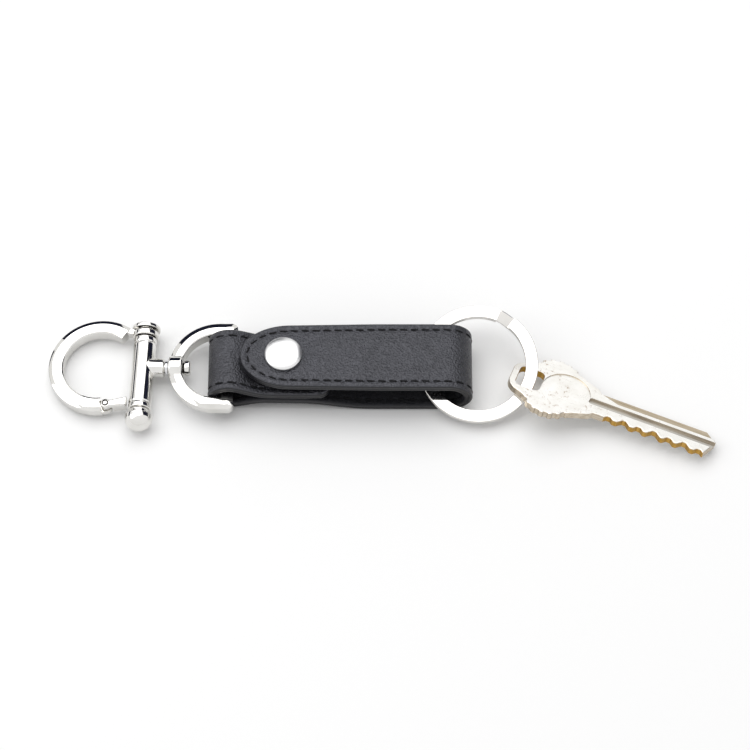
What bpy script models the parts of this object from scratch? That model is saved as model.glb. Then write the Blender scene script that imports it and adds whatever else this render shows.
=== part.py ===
"""Valet keychain: a folded leather strap with a horseshoe clasp on a D-ring, and a split ring with a key.

Metres, +Z up. The table is Z = 0, the strap runs along X and is centred on Y = 0. The clasp lies towards -X
and the key towards +X. The origin is on the flat of the strap's underside, on its centre line.
"""

import math

import bmesh
import bpy
from mathutils import Matrix, Vector

# Clearances shared by the pieces
TOUCH_GAP = 0.0003
GLUE_GAP = 0.00015
RUNNING_GAP = 0.0003
OVERRUN = 0.002
WELD_GAP = 0.000001

# Folded strap
PLY_THICKNESS = 0.0011
STRAP_WIDTH = 0.0180
STRAP_WIDTH_AT_CLASP = 0.0168
STRAP_EDGE_ROUND = 0.00025
STRAP_RIGHT_END = 0.0244
RIGHT_LOOP_HEIGHT = 0.0123
LEFT_LOOP_LEFT_END = -0.0419
LEFT_LOOP_INNER_RADIUS = 0.00295
LEFT_LOOP_CLOSING_SLOPE = math.radians(15.0)
BOTTOM_FLAT_START = -0.0020
ARCH_HEIGHT = 0.0024
TURN_BACK_END = -0.0112
TURN_BACK_END_LIFT = 0.0006
TURN_BACK_CORNER_RADIUS = 0.0028

# Flap that closes over the top
FLAP_SPLIT = 0.0172
FLAP_TIP = -0.03375
FLAP_NOSE_LENGTH = 0.0125
FLAP_HEIGHT_AT_SNAP = 0.0123
FLAP_TIP_LIFT = 0.0005

# Snap fastener
SNAP_CENTRE = -0.0229
SNAP_CAP_RADIUS = 0.00465
SNAP_CAP_RISE = 0.0012
SNAP_CAP_RIM = 0.0004
SNAP_HOLE_RADIUS = 0.0017
SNAP_POST_RADIUS = 0.0013
SNAP_SOCKET_RADIUS = 0.0040
SNAP_SOCKET_BORE = 0.0020
SNAP_SOCKET_PLATE = 0.0004
SNAP_STUD_FLANGE_RADIUS = 0.0037
SNAP_STUD_FLANGE = 0.0004
SNAP_STUD_RADIUS = 0.0017
SNAP_STUD_BULGE = 0.0001
SNAP_RIVET_HEAD_RADIUS = 0.0035
SNAP_RIVET_HEAD = 0.0005
SNAP_SEAT = 0.0040

# D-ring and the lie of the clasp
D_BAND = 0.0033
D_THICKNESS = 0.0034
D_OUTER_RADIUS = 0.0122
D_ARC_CENTRE = -0.0031
D_EDGE_ROUND = 0.0006
D_BOSS_LENGTH = 0.0036
D_BOSS_RADIUS = 0.0031
CLASP_YAW = math.radians(2.5)

# Swivel between the D-ring and the cross barrel
SWIVEL_PIN_RADIUS = 0.0012
SWIVEL_HEAD_RADIUS = 0.0019
SWIVEL_HEAD_LENGTH = 0.0015
SWIVEL_STEM_RADIUS = 0.0024
SWIVEL_WASHER_RADIUS = 0.0019
SWIVEL_WASHER_THICKNESS = 0.0005
SWIVEL_SOCKET_DEPTH = 0.0024

# Cross barrel and its caps
BARREL_CENTRE = -0.0220
BARREL_RADIUS = 0.0029
BARREL_PAST_GATE = 0.0012
BARREL_GROOVE_WIDTH = 0.0007
BARREL_GROOVE_DEPTH = 0.0004
BARREL_GROOVE_PLACE = 0.0012
BARREL_NECK_RADIUS = 0.0020
FAR_NECK_LENGTH = 0.0021
NEAR_NECK_LENGTH = 0.0013
SPIGOT_RADIUS = 0.0012
SPIGOT_LENGTH = 0.0012
FAR_CAP_RADIUS = 0.0036
FAR_CAP_LENGTH = 0.0016
NEAR_CAP_RADIUS = 0.0035
NEAR_CAP_LENGTH = 0.0041

# Horseshoe bow and its gate
BOW_CENTRE = -0.0330
BOW_OUTER_RADIUS = 0.0129
BOW_BAND = 0.0037
BOW_THICKNESS = 0.0035
BOW_EDGE_ROUND = 0.0005
BOW_FAR_END_ANGLE = math.radians(56.0)
BOW_NEAR_END_ANGLE = math.radians(-83.0)
TAB_ROOT_ANGLE = math.radians(5.0)
TAB_HEIGHT = 0.0026
TAB_INSET = 0.00015
EYE_RADIUS = 0.0029
LUG_ROOT_ANGLE = math.radians(4.0)
GATE_PIVOT_ANGLE = math.radians(-77.0)
GATE_KNUCKLE_RADIUS = 0.00125
GATE_ROOT_WIDTH = 0.0016
GATE_TIP_WIDTH = 0.0024
GATE_TIP_RISE = 0.0008
GATE_TIP_ROUND = 0.0003
GATE_PIN_RADIUS = 0.00055
GATE_PIN_PROUD = 0.0002
GATE_LUG_RADIUS = 0.0016
SPRING_WIRE_RADIUS = 0.00012
SPRING_TURNS = 1.4
SPRING_POCKET_RADIUS = 0.00135
SPRING_POCKET_DEPTH = 0.0010

# Split ring
RING_CENTRE_X = 0.0259
RING_CENTRE_Y = 0.0006
RING_OUTER_RADIUS = 0.0151
RING_BAND = 0.0031
RING_WIRE_THICKNESS = 0.0010
RING_TURN_GAP = 0.00012
RING_TILT = math.radians(14.5)
RING_SPLIT_ANGLE = math.radians(68.0)
RING_STEP_SPAN = math.radians(16.0)
RING_TIP_GAP = 0.0006
RING_EDGE_ROUND = 0.0002
RING_OVER_LEATHER = 0.0003

# Key
KEY_RING_ANGLE = math.radians(-18.5)
KEY_YAW = math.radians(-20.7)
KEY_ROLL = math.radians(20.0)
KEY_THICKNESS = 0.0019
KEY_LENGTH = 0.0540
KEY_BOW_WIDTH = 0.0200
KEY_BOW_LENGTH = 0.0195
KEY_HOLE_WIDTH = 0.0072
KEY_HOLE_LENGTH = 0.0066
KEY_HOLE_RIM = 0.0016
KEY_BLADE_WIDTH = 0.0082
KEY_BLADE_START = 0.0228
KEY_SHOULDER_STEP = 0.0009
KEY_TIP_LENGTH = 0.0030
KEY_PLAIN_START = 0.0040
KEY_PLAIN_END = 0.0005
KEY_TIP_SKEW = 0.0009
KEY_GROOVE_DEPTH = 0.0007
KEY_UPPER_GROOVE_WIDTH = 0.0019
KEY_UPPER_GROOVE_OFFSET = -0.0005
KEY_LOWER_GROOVE_WIDTH = 0.0015
KEY_LOWER_GROOVE_OFFSET = 0.0014
KEY_REBATE_WIDTH = 0.0016
KEY_REBATE_DEPTH = 0.0006
KEY_REBATE_RUN_OUT = 0.0050
KEY_BORDER_WIDTH = 0.0010
KEY_BORDER_DEPTH = 0.00025
KEY_HOLE_CORNER = 0.0015
KEY_EDGE_ROUND = 0.0002

# Cut depths as shares of the blade's width, the flat root and the deepest cut's flank as shares of the
# pitch of the cuts, and the bow's side as shares of its length and half width
KEY_CUT_DEPTH_SHARES = (0.09, 0.15, 0.11, 0.17, 0.12, 0.16, 0.10)
KEY_CUT_ROOT_SHARE = 0.228
KEY_CUT_FLANK_SHARE = 0.35
KEY_RECESS_SHARE = 0.62
KEY_BOW_SHARES = (
    (0.00, 0.26),
    (0.03, 0.38),
    (0.10, 0.50),
    (0.20, 0.58),
    (0.27, 0.66),
    (0.31, 0.80),
    (0.38, 0.92),
    (0.48, 0.99),
    (0.60, 1.00),
    (0.71, 0.94),
    (0.80, 0.83),
    (0.86, 0.73),
    (0.93, 0.66),
    (1.00, 0.60),
)

# Values that follow
STRAP_THICKNESS = PLY_THICKNESS + GLUE_GAP + PLY_THICKNESS
HALF_STRAP = STRAP_THICKNESS / 2
RIGHT_LOOP_RADIUS = RIGHT_LOOP_HEIGHT / 2 - HALF_STRAP
RIGHT_LOOP_CENTRE = Vector((STRAP_RIGHT_END - RIGHT_LOOP_HEIGHT / 2, 0, RIGHT_LOOP_HEIGHT / 2))
LEFT_LOOP_RADIUS = LEFT_LOOP_INNER_RADIUS + HALF_STRAP
LEFT_LOOP_OUTER_RADIUS = LEFT_LOOP_RADIUS + HALF_STRAP
LEFT_LOOP_CENTRE = Vector((LEFT_LOOP_LEFT_END + LEFT_LOOP_OUTER_RADIUS, 0, LEFT_LOOP_OUTER_RADIUS))
BOW_INNER_RADIUS = BOW_OUTER_RADIUS - BOW_BAND
BOW_MIDDLE_RADIUS = BOW_OUTER_RADIUS - BOW_BAND / 2
CLASP_REACH = BOW_OUTER_RADIUS - BOW_CENTRE
# The barrel runs from the eye at the bow's far end to just past the gate
BARREL_FAR = BOW_MIDDLE_RADIUS * math.sin(BOW_FAR_END_ANGLE) - FAR_NECK_LENGTH / 2
BARREL_NEAR = BOW_MIDDLE_RADIUS * math.sin(GATE_PIVOT_ANGLE) - BARREL_PAST_GATE
CLASP_DROOP = math.asin((LEFT_LOOP_CENTRE.z - BOW_THICKNESS / 2) / CLASP_REACH)
CLASP_PLACE = (
    Matrix.Translation(LEFT_LOOP_CENTRE)
    @ Matrix.Rotation(-CLASP_YAW, 4, "Z")
    @ Matrix.Rotation(-CLASP_DROOP, 4, "Y")
)
RING_THICKNESS = RING_WIRE_THICKNESS + RING_TURN_GAP + RING_WIRE_THICKNESS
RING_MIDDLE_RADIUS = RING_OUTER_RADIUS - RING_BAND / 2
# The tilted ring clears the near edge of the strap's bottom layer, and the middle of its thickness
# is ROCK_HEIGHT over the table at the strap's centre line
NEAR_EDGE_RISE = STRAP_WIDTH / 2 * math.tan(RING_TILT)
HALF_RING_RISE = RING_THICKNESS / 2 / math.cos(RING_TILT)
ROCK_HEIGHT = STRAP_THICKNESS + RING_OVER_LEATHER + HALF_RING_RISE + NEAR_EDGE_RISE
RING_CENTRE_Z = ROCK_HEIGHT + RING_CENTRE_Y * math.tan(RING_TILT)
RING_PLACE = (
    Matrix.Translation((RING_CENTRE_X, RING_CENTRE_Y, RING_CENTRE_Z))
    @ Matrix.Rotation(RING_TILT, 4, "X")
)
KEY_ON_RING = RING_PLACE @ Vector(
    (RING_MIDDLE_RADIUS * math.cos(KEY_RING_ANGLE), RING_MIDDLE_RADIUS * math.sin(KEY_RING_ANGLE), 0)
)
KEY_TO_TIP = KEY_LENGTH - KEY_TIP_LENGTH - KEY_HOLE_RIM - KEY_HOLE_LENGTH / 2
KEY_LOW_SIDE = KEY_BLADE_WIDTH / 2 * math.sin(KEY_ROLL) + KEY_THICKNESS / 2 * math.cos(KEY_ROLL)
KEY_PITCH = math.asin((KEY_ON_RING.z - KEY_LOW_SIDE) / KEY_TO_TIP)
KEY_PLACE = (
    Matrix.Translation(KEY_ON_RING)
    @ Matrix.Rotation(KEY_YAW, 4, "Z")
    @ Matrix.Rotation(KEY_PITCH, 4, "Y")
    @ Matrix.Rotation(-KEY_ROLL, 4, "X")
)


def clear_scene():
    for thing in list(bpy.data.objects):
        bpy.data.objects.remove(thing)


def new_collection(name):
    collection = bpy.data.collections.new(name)
    bpy.context.scene.collection.children.link(collection)
    return collection


clear_scene()
PARTS = new_collection("valet_keychain")
CUTTERS = new_collection("cutters")


def make_material(name, colour, metallic, roughness):
    material = bpy.data.materials.new(name)
    material.use_nodes = True
    shader = material.node_tree.nodes["Principled BSDF"]
    shader.inputs["Base Color"].default_value = (*colour, 1)
    shader.inputs["Metallic"].default_value = metallic
    shader.inputs["Roughness"].default_value = roughness
    return material


def black_leather(name):
    return make_material(name, (0.02, 0.02, 0.023), 0, 0.5)


def bright_chrome(name):
    return make_material(name, (0.82, 0.83, 0.85), 1, 0.08)


def nickel_brass(name):
    return make_material(name, (0.74, 0.69, 0.58), 1, 0.25)


def dark_steel(name):
    return make_material(name, (0.35, 0.35, 0.36), 1, 0.35)


def put(name, mesh, material, place=None):
    """Adds a mesh as a part, at the place given by a matrix."""
    part = bpy.data.objects.new(name, mesh)
    PARTS.objects.link(part)
    mesh.materials.clear()
    mesh.materials.append(material)
    if place is not None:
        part.matrix_world = place
    mesh.shade_smooth()
    mesh.set_sharp_from_angle(angle=math.radians(30))
    return part


def put_cutter(name, mesh, place=None):
    """Adds a mesh as a hidden cutter."""
    cutter = bpy.data.objects.new(name, mesh)
    CUTTERS.objects.link(cutter)
    cutter.hide_render = True
    cutter.display_type = "WIRE"
    if place is not None:
        cutter.matrix_world = place
    return cutter


def cut(part, cutter, operation="DIFFERENCE", solver="EXACT"):
    modifier = part.modifiers.new(cutter.name, "BOOLEAN")
    modifier.operation = operation
    modifier.solver = solver
    modifier.object = cutter


def round_edges(part, width, segments=1, angle=math.radians(30)):
    bevel = part.modifiers.new("edge_round", "BEVEL")
    bevel.width = width
    bevel.segments = segments
    bevel.limit_method = "ANGLE"
    bevel.angle_limit = angle


def mesh_of_curve(curve):
    """Turns a curve datablock into a mesh with its caps welded on."""
    holder = bpy.data.objects.new(curve.name, curve)
    bpy.context.scene.collection.objects.link(holder)
    bpy.context.view_layer.update()
    evaluated = holder.evaluated_get(bpy.context.evaluated_depsgraph_get())
    mesh = bpy.data.meshes.new_from_object(evaluated)
    bpy.data.objects.remove(holder)
    edit = bmesh.new()
    edit.from_mesh(mesh)
    bmesh.ops.remove_doubles(edit, verts=edit.verts, dist=WELD_GAP)
    bmesh.ops.recalc_face_normals(edit, faces=edit.faces)
    edit.to_mesh(mesh)
    edit.free()
    return mesh


def outline_plate(name, outlines, thickness):
    """A plate cut to one or more closed outlines, centred on its own XY plane."""
    curve = bpy.data.curves.new(name, "CURVE")
    curve.dimensions = "2D"
    curve.fill_mode = "BOTH"
    curve.extrude = thickness / 2
    for outline in outlines:
        spline = curve.splines.new("POLY")
        spline.points.add(len(outline) - 1)
        for point, (x, y) in zip(spline.points, outline):
            point.co = (x, y, 0, 1)
        spline.use_cyclic_u = True
    return mesh_of_curve(curve)


def standing(mesh):
    """Stands a plate up, so that its outline lies in XZ and its thickness runs along Y."""
    mesh.transform(Matrix.Rotation(math.radians(90), 4, "X"))
    return mesh


def turned(name, profile, axis="Z", sides=32):
    """A solid turned from (radius, height) points, listed from its top centre down to its bottom centre."""
    edit = bmesh.new()
    points = [edit.verts.new((radius, 0, height)) for radius, height in profile]
    edges = [edit.edges.new(pair) for pair in zip(points, points[1:])]
    bmesh.ops.spin(
        edit,
        geom=points + edges,
        axis=(0, 0, 1),
        cent=(0, 0, 0),
        angle=2 * math.pi,
        steps=sides,
        use_merge=True,
    )
    bmesh.ops.remove_doubles(edit, verts=edit.verts, dist=2 * WELD_GAP)
    bmesh.ops.recalc_face_normals(edit, faces=edit.faces)
    mesh = bpy.data.meshes.new(name)
    edit.to_mesh(mesh)
    edit.free()
    if axis == "X":
        mesh.transform(Matrix.Rotation(math.radians(90), 4, "Y"))
    if axis == "Y":
        mesh.transform(Matrix.Rotation(math.radians(-90), 4, "X"))
    return mesh


def arc(centre, radius, start, end, steps):
    """Points of a flat arc, from one angle to another."""
    points = []
    for step in range(steps + 1):
        angle = start + (end - start) * step / steps
        points.append((centre[0] + radius * math.cos(angle), centre[1] + radius * math.sin(angle)))
    return points


def easing(start, start_way, end, end_way, steps):
    """Points of a smooth run between two points, leaving and arriving along the given ways."""
    reach = (Vector(end) - Vector(start)).length
    points = []
    for step in range(steps + 1):
        t = step / steps
        a = Vector(start) * (2 * t**3 - 3 * t**2 + 1)
        b = Vector(start_way) * (t**3 - 2 * t**2 + t) * reach
        c = Vector(end) * (3 * t**2 - 2 * t**3)
        d = Vector(end_way) * (t**3 - t**2) * reach
        points.append(tuple(a + b + c + d))
    return points


def offset_line(points, distance):
    """The line beside a line of (x, z) points, to its left where the distance is positive."""
    moved = []
    last = len(points) - 1
    for index, point in enumerate(points):
        before = Vector(points[max(index - 1, 0)])
        after = Vector(points[min(index + 1, last)])
        way = (after - before).normalized()
        moved.append((point[0] - way.y * distance, point[1] + way.x * distance))
    return moved


def band_between(line, near, far):
    """The closed outline of a ply that lies between two distances beside a line."""
    return offset_line(line, near) + offset_line(line, far)[::-1]


def half_width_share(x):
    """The strap narrows evenly from the middle of its length to the clasp loop."""
    share = min(max(-x / -LEFT_LOOP_CENTRE.x, 0), 1)
    return 1 - share * (1 - STRAP_WIDTH_AT_CLASP / STRAP_WIDTH)


def narrow_to_clasp(mesh):
    for vertex in mesh.vertices:
        vertex.co.y *= half_width_share(vertex.co.x)
    return mesh


# The line of the folded strap, in X and Z, along the middle of its thickness
LEFT_C = (LEFT_LOOP_CENTRE.x, LEFT_LOOP_CENTRE.z)
RIGHT_C = (RIGHT_LOOP_CENTRE.x, RIGHT_LOOP_CENTRE.z)
BOTTOM_AT_SNAP = (SNAP_CENTRE, ARCH_HEIGHT + HALF_STRAP)
TURN_BACK_AT_SNAP = (SNAP_CENTRE, BOTTOM_AT_SNAP[1] + STRAP_THICKNESS + TOUCH_GAP)
UP_ANGLE = math.radians(90) - LEFT_LOOP_CLOSING_SLOPE


def turn_back_line():
    """From the loose end of the turned-back layer to where it meets the clasp loop."""
    end = (TURN_BACK_END, TURN_BACK_AT_SNAP[1] + TURN_BACK_END_LIFT)
    loop_top = arc(LEFT_C, LEFT_LOOP_RADIUS, UP_ANGLE, UP_ANGLE, 1)[0]
    climb = (-math.sin(UP_ANGLE), math.cos(UP_ANGLE))
    level = TURN_BACK_AT_SNAP[1]
    line = easing(end, (-1, 0), (SNAP_CENTRE + SNAP_SEAT, level), (-1, 0), 3)
    return line + easing((SNAP_CENTRE - SNAP_SEAT, level), (-1, 0), loop_top, climb, 7)


def clasp_loop_line():
    """Round the bar of the D-ring, over its left side."""
    return arc(LEFT_C, LEFT_LOOP_RADIUS, UP_ANGLE, 2 * math.pi - UP_ANGLE, 16)


def bottom_line():
    """Along the table side, arched over the snap's rivet."""
    loop_foot = arc(LEFT_C, LEFT_LOOP_RADIUS, -UP_ANGLE, -UP_ANGLE, 1)[0]
    climb = (math.sin(UP_ANGLE), math.cos(UP_ANGLE))
    level = BOTTOM_AT_SNAP[1]
    line = easing(loop_foot, climb, (SNAP_CENTRE - SNAP_SEAT, level), (1, 0), 7)
    line += easing((SNAP_CENTRE + SNAP_SEAT, level), (1, 0), (BOTTOM_FLAT_START, HALF_STRAP), (1, 0), 12)
    return line


def ring_loop_line():
    """Round the split ring's end, up to where the flap begins."""
    return arc(RIGHT_C, RIGHT_LOOP_RADIUS, -math.pi / 2, math.pi / 2, 16)


def flap_height(x):
    """Height of the middle of the flap's thickness."""
    at_end = RIGHT_LOOP_HEIGHT - HALF_STRAP
    at_snap = FLAP_HEIGHT_AT_SNAP - HALF_STRAP
    if x > SNAP_CENTRE:
        share = (RIGHT_C[0] - x) / (RIGHT_C[0] - SNAP_CENTRE)
        return at_end + (at_snap - at_end) * share
    share = (SNAP_CENTRE - x) / (SNAP_CENTRE - FLAP_TIP)
    return at_snap + FLAP_TIP_LIFT * share**2


def flap_line():
    """From the split near the ring loop to just past the tip."""
    start = FLAP_SPLIT - TOUCH_GAP / 2
    end = FLAP_TIP - OVERRUN
    steps = 16
    return [(x, flap_height(x)) for x in (start + (end - start) * step / steps for step in range(steps + 1))]


def strap_line():
    root_end = (FLAP_SPLIT + TOUCH_GAP / 2, RIGHT_LOOP_HEIGHT - HALF_STRAP)
    return turn_back_line() + clasp_loop_line()[1:-1] + bottom_line() + ring_loop_line() + [root_end]


def ply(name, line, near, far, material):
    mesh = standing(outline_plate(name, [band_between(line, near, far)], STRAP_WIDTH))
    return put(name, narrow_to_clasp(mesh), material)


INNER_FACE = GLUE_GAP / 2
OUTER_FACE = HALF_STRAP


def post_hole(name, x, radius, low, high):
    mesh = turned(name, [(0, high), (radius, high), (radius, low), (0, low)], sides=24)
    return put_cutter(name, mesh, Matrix.Translation((x, 0, 0)))


def turned_back_end_cutter():
    """Plan outline that rounds the corners of the turned-back layer's loose end."""
    half = STRAP_WIDTH / 2 + OVERRUN
    inner = STRAP_WIDTH / 2 * half_width_share(TURN_BACK_END)
    radius = TURN_BACK_CORNER_RADIUS
    left = TURN_BACK_END - radius - OVERRUN
    right = TURN_BACK_END + OVERRUN
    upper = arc((TURN_BACK_END - radius, inner - radius), radius, math.pi / 2, 0, 6)
    lower = arc((TURN_BACK_END - radius, -inner + radius), radius, 0, -math.pi / 2, 6)
    waste_top = [(upper[0][0], half), (right, half), (right, 0)] + [(upper[-1][0], 0)] + upper[::-1]
    waste_low = [(lower[0][0], 0), (right, 0), (right, -half), (lower[-1][0], -half)] + lower[::-1]
    height = STRAP_THICKNESS + TURN_BACK_END_LIFT + STRAP_THICKNESS
    place = Matrix.Translation((0, 0, TURN_BACK_AT_SNAP[1] + TURN_BACK_END_LIFT))
    cutters = []
    for name, waste in (("turn_back_corner_far", waste_top), ("turn_back_corner_near", waste_low)):
        cutters.append(put_cutter(name, outline_plate(name, [waste], height), place))
    return cutters


def build_strap():
    line = strap_line()
    # The line runs anticlockwise seen from the near side, so the outer ply lies to its right
    outer = ply("strap_outer", line, -OUTER_FACE, -INNER_FACE, black_leather("grain_leather"))
    lining = ply("strap_lining", line, INNER_FACE, OUTER_FACE, black_leather("lining_leather"))
    top = TURN_BACK_AT_SNAP[1] + STRAP_THICKNESS
    hole = post_hole("strap_post_hole", SNAP_CENTRE, SNAP_HOLE_RADIUS, 0, top)
    corners = turned_back_end_cutter()
    for part in (outer, lining):
        cut(part, hole, "DIFFERENCE", "MANIFOLD")
        for corner in corners:
            cut(part, corner, "DIFFERENCE", "MANIFOLD")


def flap_nose_cutter():
    """Plan outline of the flap with its half-elliptical nose."""
    half = STRAP_WIDTH / 2 * half_width_share(FLAP_TIP + FLAP_NOSE_LENGTH)
    centre = FLAP_TIP + FLAP_NOSE_LENGTH
    steps = 20
    nose = []
    for step in range(steps + 1):
        angle = math.pi / 2 + math.pi * step / steps
        nose.append((centre + FLAP_NOSE_LENGTH * math.cos(angle), half * math.sin(angle)))
    wide = STRAP_WIDTH / 2 + OVERRUN
    right = FLAP_SPLIT + OVERRUN
    outline = nose + [(centre, -wide), (right, -wide), (right, wide), (centre, wide)]
    mesh = outline_plate("flap_nose", [outline], RIGHT_LOOP_HEIGHT)
    return put_cutter("flap_nose", mesh, Matrix.Translation((0, 0, FLAP_HEIGHT_AT_SNAP)))


def build_flap(hinge):
    nose = flap_nose_cutter()
    top = 2 * RIGHT_LOOP_HEIGHT
    hole = post_hole("flap_post_hole", SNAP_CENTRE, SNAP_HOLE_RADIUS, TURN_BACK_AT_SNAP[1], top)
    line = flap_line()
    outer = ply("flap_outer", line, -OUTER_FACE, -INNER_FACE, black_leather("flap_grain_leather"))
    lining = ply("flap_lining", line, INNER_FACE, OUTER_FACE, black_leather("flap_lining_leather"))
    for part in (outer, lining):
        cut(part, nose, "INTERSECT", "MANIFOLD")
        cut(part, hole, "DIFFERENCE", "MANIFOLD")
        hang(part, hinge)


def pivot(name, place):
    """An empty on a joint's axis, which carries a moving body's pieces."""
    empty = bpy.data.objects.new(name, None)
    PARTS.objects.link(empty)
    empty.matrix_world = place
    return empty


def hang(part, parent):
    """Parents a part to an empty and leaves it where it is."""
    bpy.context.view_layer.update()
    part.parent = parent
    part.matrix_parent_inverse = parent.matrix_world.inverted()


def dome(radius, rise, rim, base, steps=5):
    """Turned points of a low dome with a straight rim, from its crown down to its base centre."""
    points = []
    for step in range(steps + 1):
        angle = math.pi / 2 * (1 - step / steps)
        points.append((radius * math.cos(angle), base + rim + rise * math.sin(angle)))
    points.append((radius, base))
    points.append((0, base))
    points[0] = (0, points[0][1])
    return points


def build_snap(hinge):
    centre = Matrix.Translation((SNAP_CENTRE, 0, 0))
    flap_top = FLAP_HEIGHT_AT_SNAP
    flap_under = flap_top - STRAP_THICKNESS
    turn_back_top = TURN_BACK_AT_SNAP[1] + HALF_STRAP
    # Cap over the flap, with its hollow post through the leather
    socket_plate_low = flap_under - TOUCH_GAP - SNAP_SOCKET_PLATE
    cap = dome(SNAP_CAP_RADIUS, SNAP_CAP_RISE, SNAP_CAP_RIM, flap_top + TOUCH_GAP)
    post_top = (SNAP_POST_RADIUS, flap_top + TOUCH_GAP)
    cap = cap[:-1] + [post_top, (SNAP_POST_RADIUS, flap_under), (0, flap_under)]
    mesh = turned("snap_cap", cap, sides=40)
    hang(put("snap_cap", mesh, bright_chrome("snap_cap_chrome"), centre), hinge)
    # Socket under the flap, a shallow cup that grips the stud
    wall_low = turn_back_top + TOUCH_GAP + SNAP_STUD_FLANGE + TOUCH_GAP
    socket = [
        (0, flap_under - TOUCH_GAP),
        (SNAP_SOCKET_RADIUS, flap_under - TOUCH_GAP),
        (SNAP_SOCKET_RADIUS, socket_plate_low),
        (SNAP_SOCKET_BORE + SNAP_SOCKET_PLATE + SNAP_SOCKET_PLATE, wall_low),
        (SNAP_SOCKET_BORE, wall_low),
        (SNAP_SOCKET_BORE, socket_plate_low),
        (0, socket_plate_low),
    ]
    mesh = turned("snap_socket", socket, sides=32)
    hang(put("snap_socket", mesh, dark_steel("snap_socket_steel"), centre), hinge)
    # Stud on the turned-back layer
    stud_base = turn_back_top + TOUCH_GAP
    stud_top = socket_plate_low - TOUCH_GAP
    stud_neck = SNAP_STUD_RADIUS - SNAP_STUD_BULGE - SNAP_STUD_BULGE
    stud_middle = (stud_base + stud_top + SNAP_STUD_FLANGE) / 2
    stud = [
        (0, stud_top),
        (stud_neck, stud_top),
        (SNAP_STUD_RADIUS, stud_middle),
        (stud_neck, stud_base + SNAP_STUD_FLANGE),
        (SNAP_STUD_FLANGE_RADIUS, stud_base + SNAP_STUD_FLANGE),
        (SNAP_STUD_FLANGE_RADIUS, stud_base),
        (0, stud_base),
    ]
    put("snap_stud", turned("snap_stud", stud, sides=32), dark_steel("snap_stud_steel"), centre)
    # Rivet from below, through both fixed layers
    head_top = ARCH_HEIGHT - TOUCH_GAP
    rivet = [
        (0, stud_base - TOUCH_GAP),
        (SNAP_POST_RADIUS, stud_base - TOUCH_GAP),
        (SNAP_POST_RADIUS, head_top),
        (SNAP_RIVET_HEAD_RADIUS, head_top),
        (SNAP_RIVET_HEAD_RADIUS - SNAP_RIVET_HEAD / 2, head_top - SNAP_RIVET_HEAD),
        (0, head_top - SNAP_RIVET_HEAD),
    ]
    put("snap_rivet", turned("snap_rivet", rivet, sides=32), dark_steel("snap_rivet_steel"), centre)


def build_d_ring(carrier):
    """A cast D with a boss for the swivel, modelled round its straight bar."""
    outer_r = D_OUTER_RADIUS
    inner_r = outer_r - D_BAND
    bar_right = D_BAND / 2
    centre = (D_ARC_CENTRE, 0)
    outer = arc(centre, outer_r, math.pi / 2, math.pi * 3 / 2, 28)
    corner = D_BAND / 2
    outer += arc((bar_right - corner, -outer_r + corner), corner, -math.pi / 2, 0, 4)
    outer += arc((bar_right - corner, outer_r - corner), corner, 0, math.pi / 2, 4)
    inner = arc(centre, inner_r, math.pi / 2, math.pi * 3 / 2, 24)
    inner += [(-D_BAND / 2, -inner_r), (-D_BAND / 2, inner_r)]
    plate = outline_plate("d_ring", [outer, inner], D_THICKNESS)
    ring = put("d_ring", plate, bright_chrome("d_ring_chrome"), CLASP_PLACE)
    round_edges(ring, D_EDGE_ROUND, 2, math.radians(40))
    boss_left = D_ARC_CENTRE - outer_r
    boss_right = boss_left + D_BOSS_LENGTH
    edge = D_EDGE_ROUND / 2
    boss = turned(
        "d_ring_boss",
        [
            (0, boss_right),
            (D_BOSS_RADIUS - edge, boss_right),
            (D_BOSS_RADIUS, boss_right - edge),
            (D_BOSS_RADIUS, boss_left + edge),
            (D_BOSS_RADIUS - edge, boss_left),
            (0, boss_left),
        ],
        "X",
        32,
    )
    cut(ring, put_cutter("d_ring_boss", boss, CLASP_PLACE), "UNION")
    bore_radius = SWIVEL_PIN_RADIUS + RUNNING_GAP
    reach = D_BOSS_LENGTH + OVERRUN
    bore_profile = [(0, reach), (bore_radius, reach), (bore_radius, -reach), (0, -reach)]
    bore = turned("swivel_bore", bore_profile, "X", 24)
    at_boss = CLASP_PLACE @ Matrix.Translation((boss_left + D_BOSS_LENGTH / 2, 0, 0))
    cut(ring, put_cutter("swivel_bore", bore, at_boss))
    hang(ring, carrier)
    return boss_left


def build_swivel(carrier, boss_left):
    """The pin that holds the clasp in the boss, and the washer that it runs on."""
    head_start = boss_left + D_BOSS_LENGTH + RUNNING_GAP
    washer_end = boss_left - RUNNING_GAP
    washer_start = washer_end - SWIVEL_WASHER_THICKNESS
    stem_end = washer_start - TOUCH_GAP
    pin_end = stem_end - SWIVEL_SOCKET_DEPTH
    head_round = SWIVEL_HEAD_RADIUS / 3
    head = [
        (0, head_start + SWIVEL_HEAD_LENGTH),
        (SWIVEL_HEAD_RADIUS - head_round, head_start + SWIVEL_HEAD_LENGTH),
        (SWIVEL_HEAD_RADIUS, head_start + SWIVEL_HEAD_LENGTH - head_round),
        (SWIVEL_HEAD_RADIUS, head_start),
        (SWIVEL_PIN_RADIUS, head_start),
        (SWIVEL_PIN_RADIUS, pin_end),
        (0, pin_end),
    ]
    mesh = turned("swivel_pin", head, "X", 28)
    hang(put("swivel_pin", mesh, bright_chrome("swivel_pin_chrome"), CLASP_PLACE), carrier)
    bore = SWIVEL_PIN_RADIUS + RUNNING_GAP
    ring = [
        (bore, washer_end),
        (SWIVEL_WASHER_RADIUS, washer_end),
        (SWIVEL_WASHER_RADIUS, washer_start),
        (bore, washer_start),
        (bore, washer_end),
    ]
    mesh = turned("swivel_washer", ring, "X", 28)
    hang(put("swivel_washer", mesh, dark_steel("swivel_washer_steel"), CLASP_PLACE), carrier)
    return stem_end, pin_end


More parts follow.
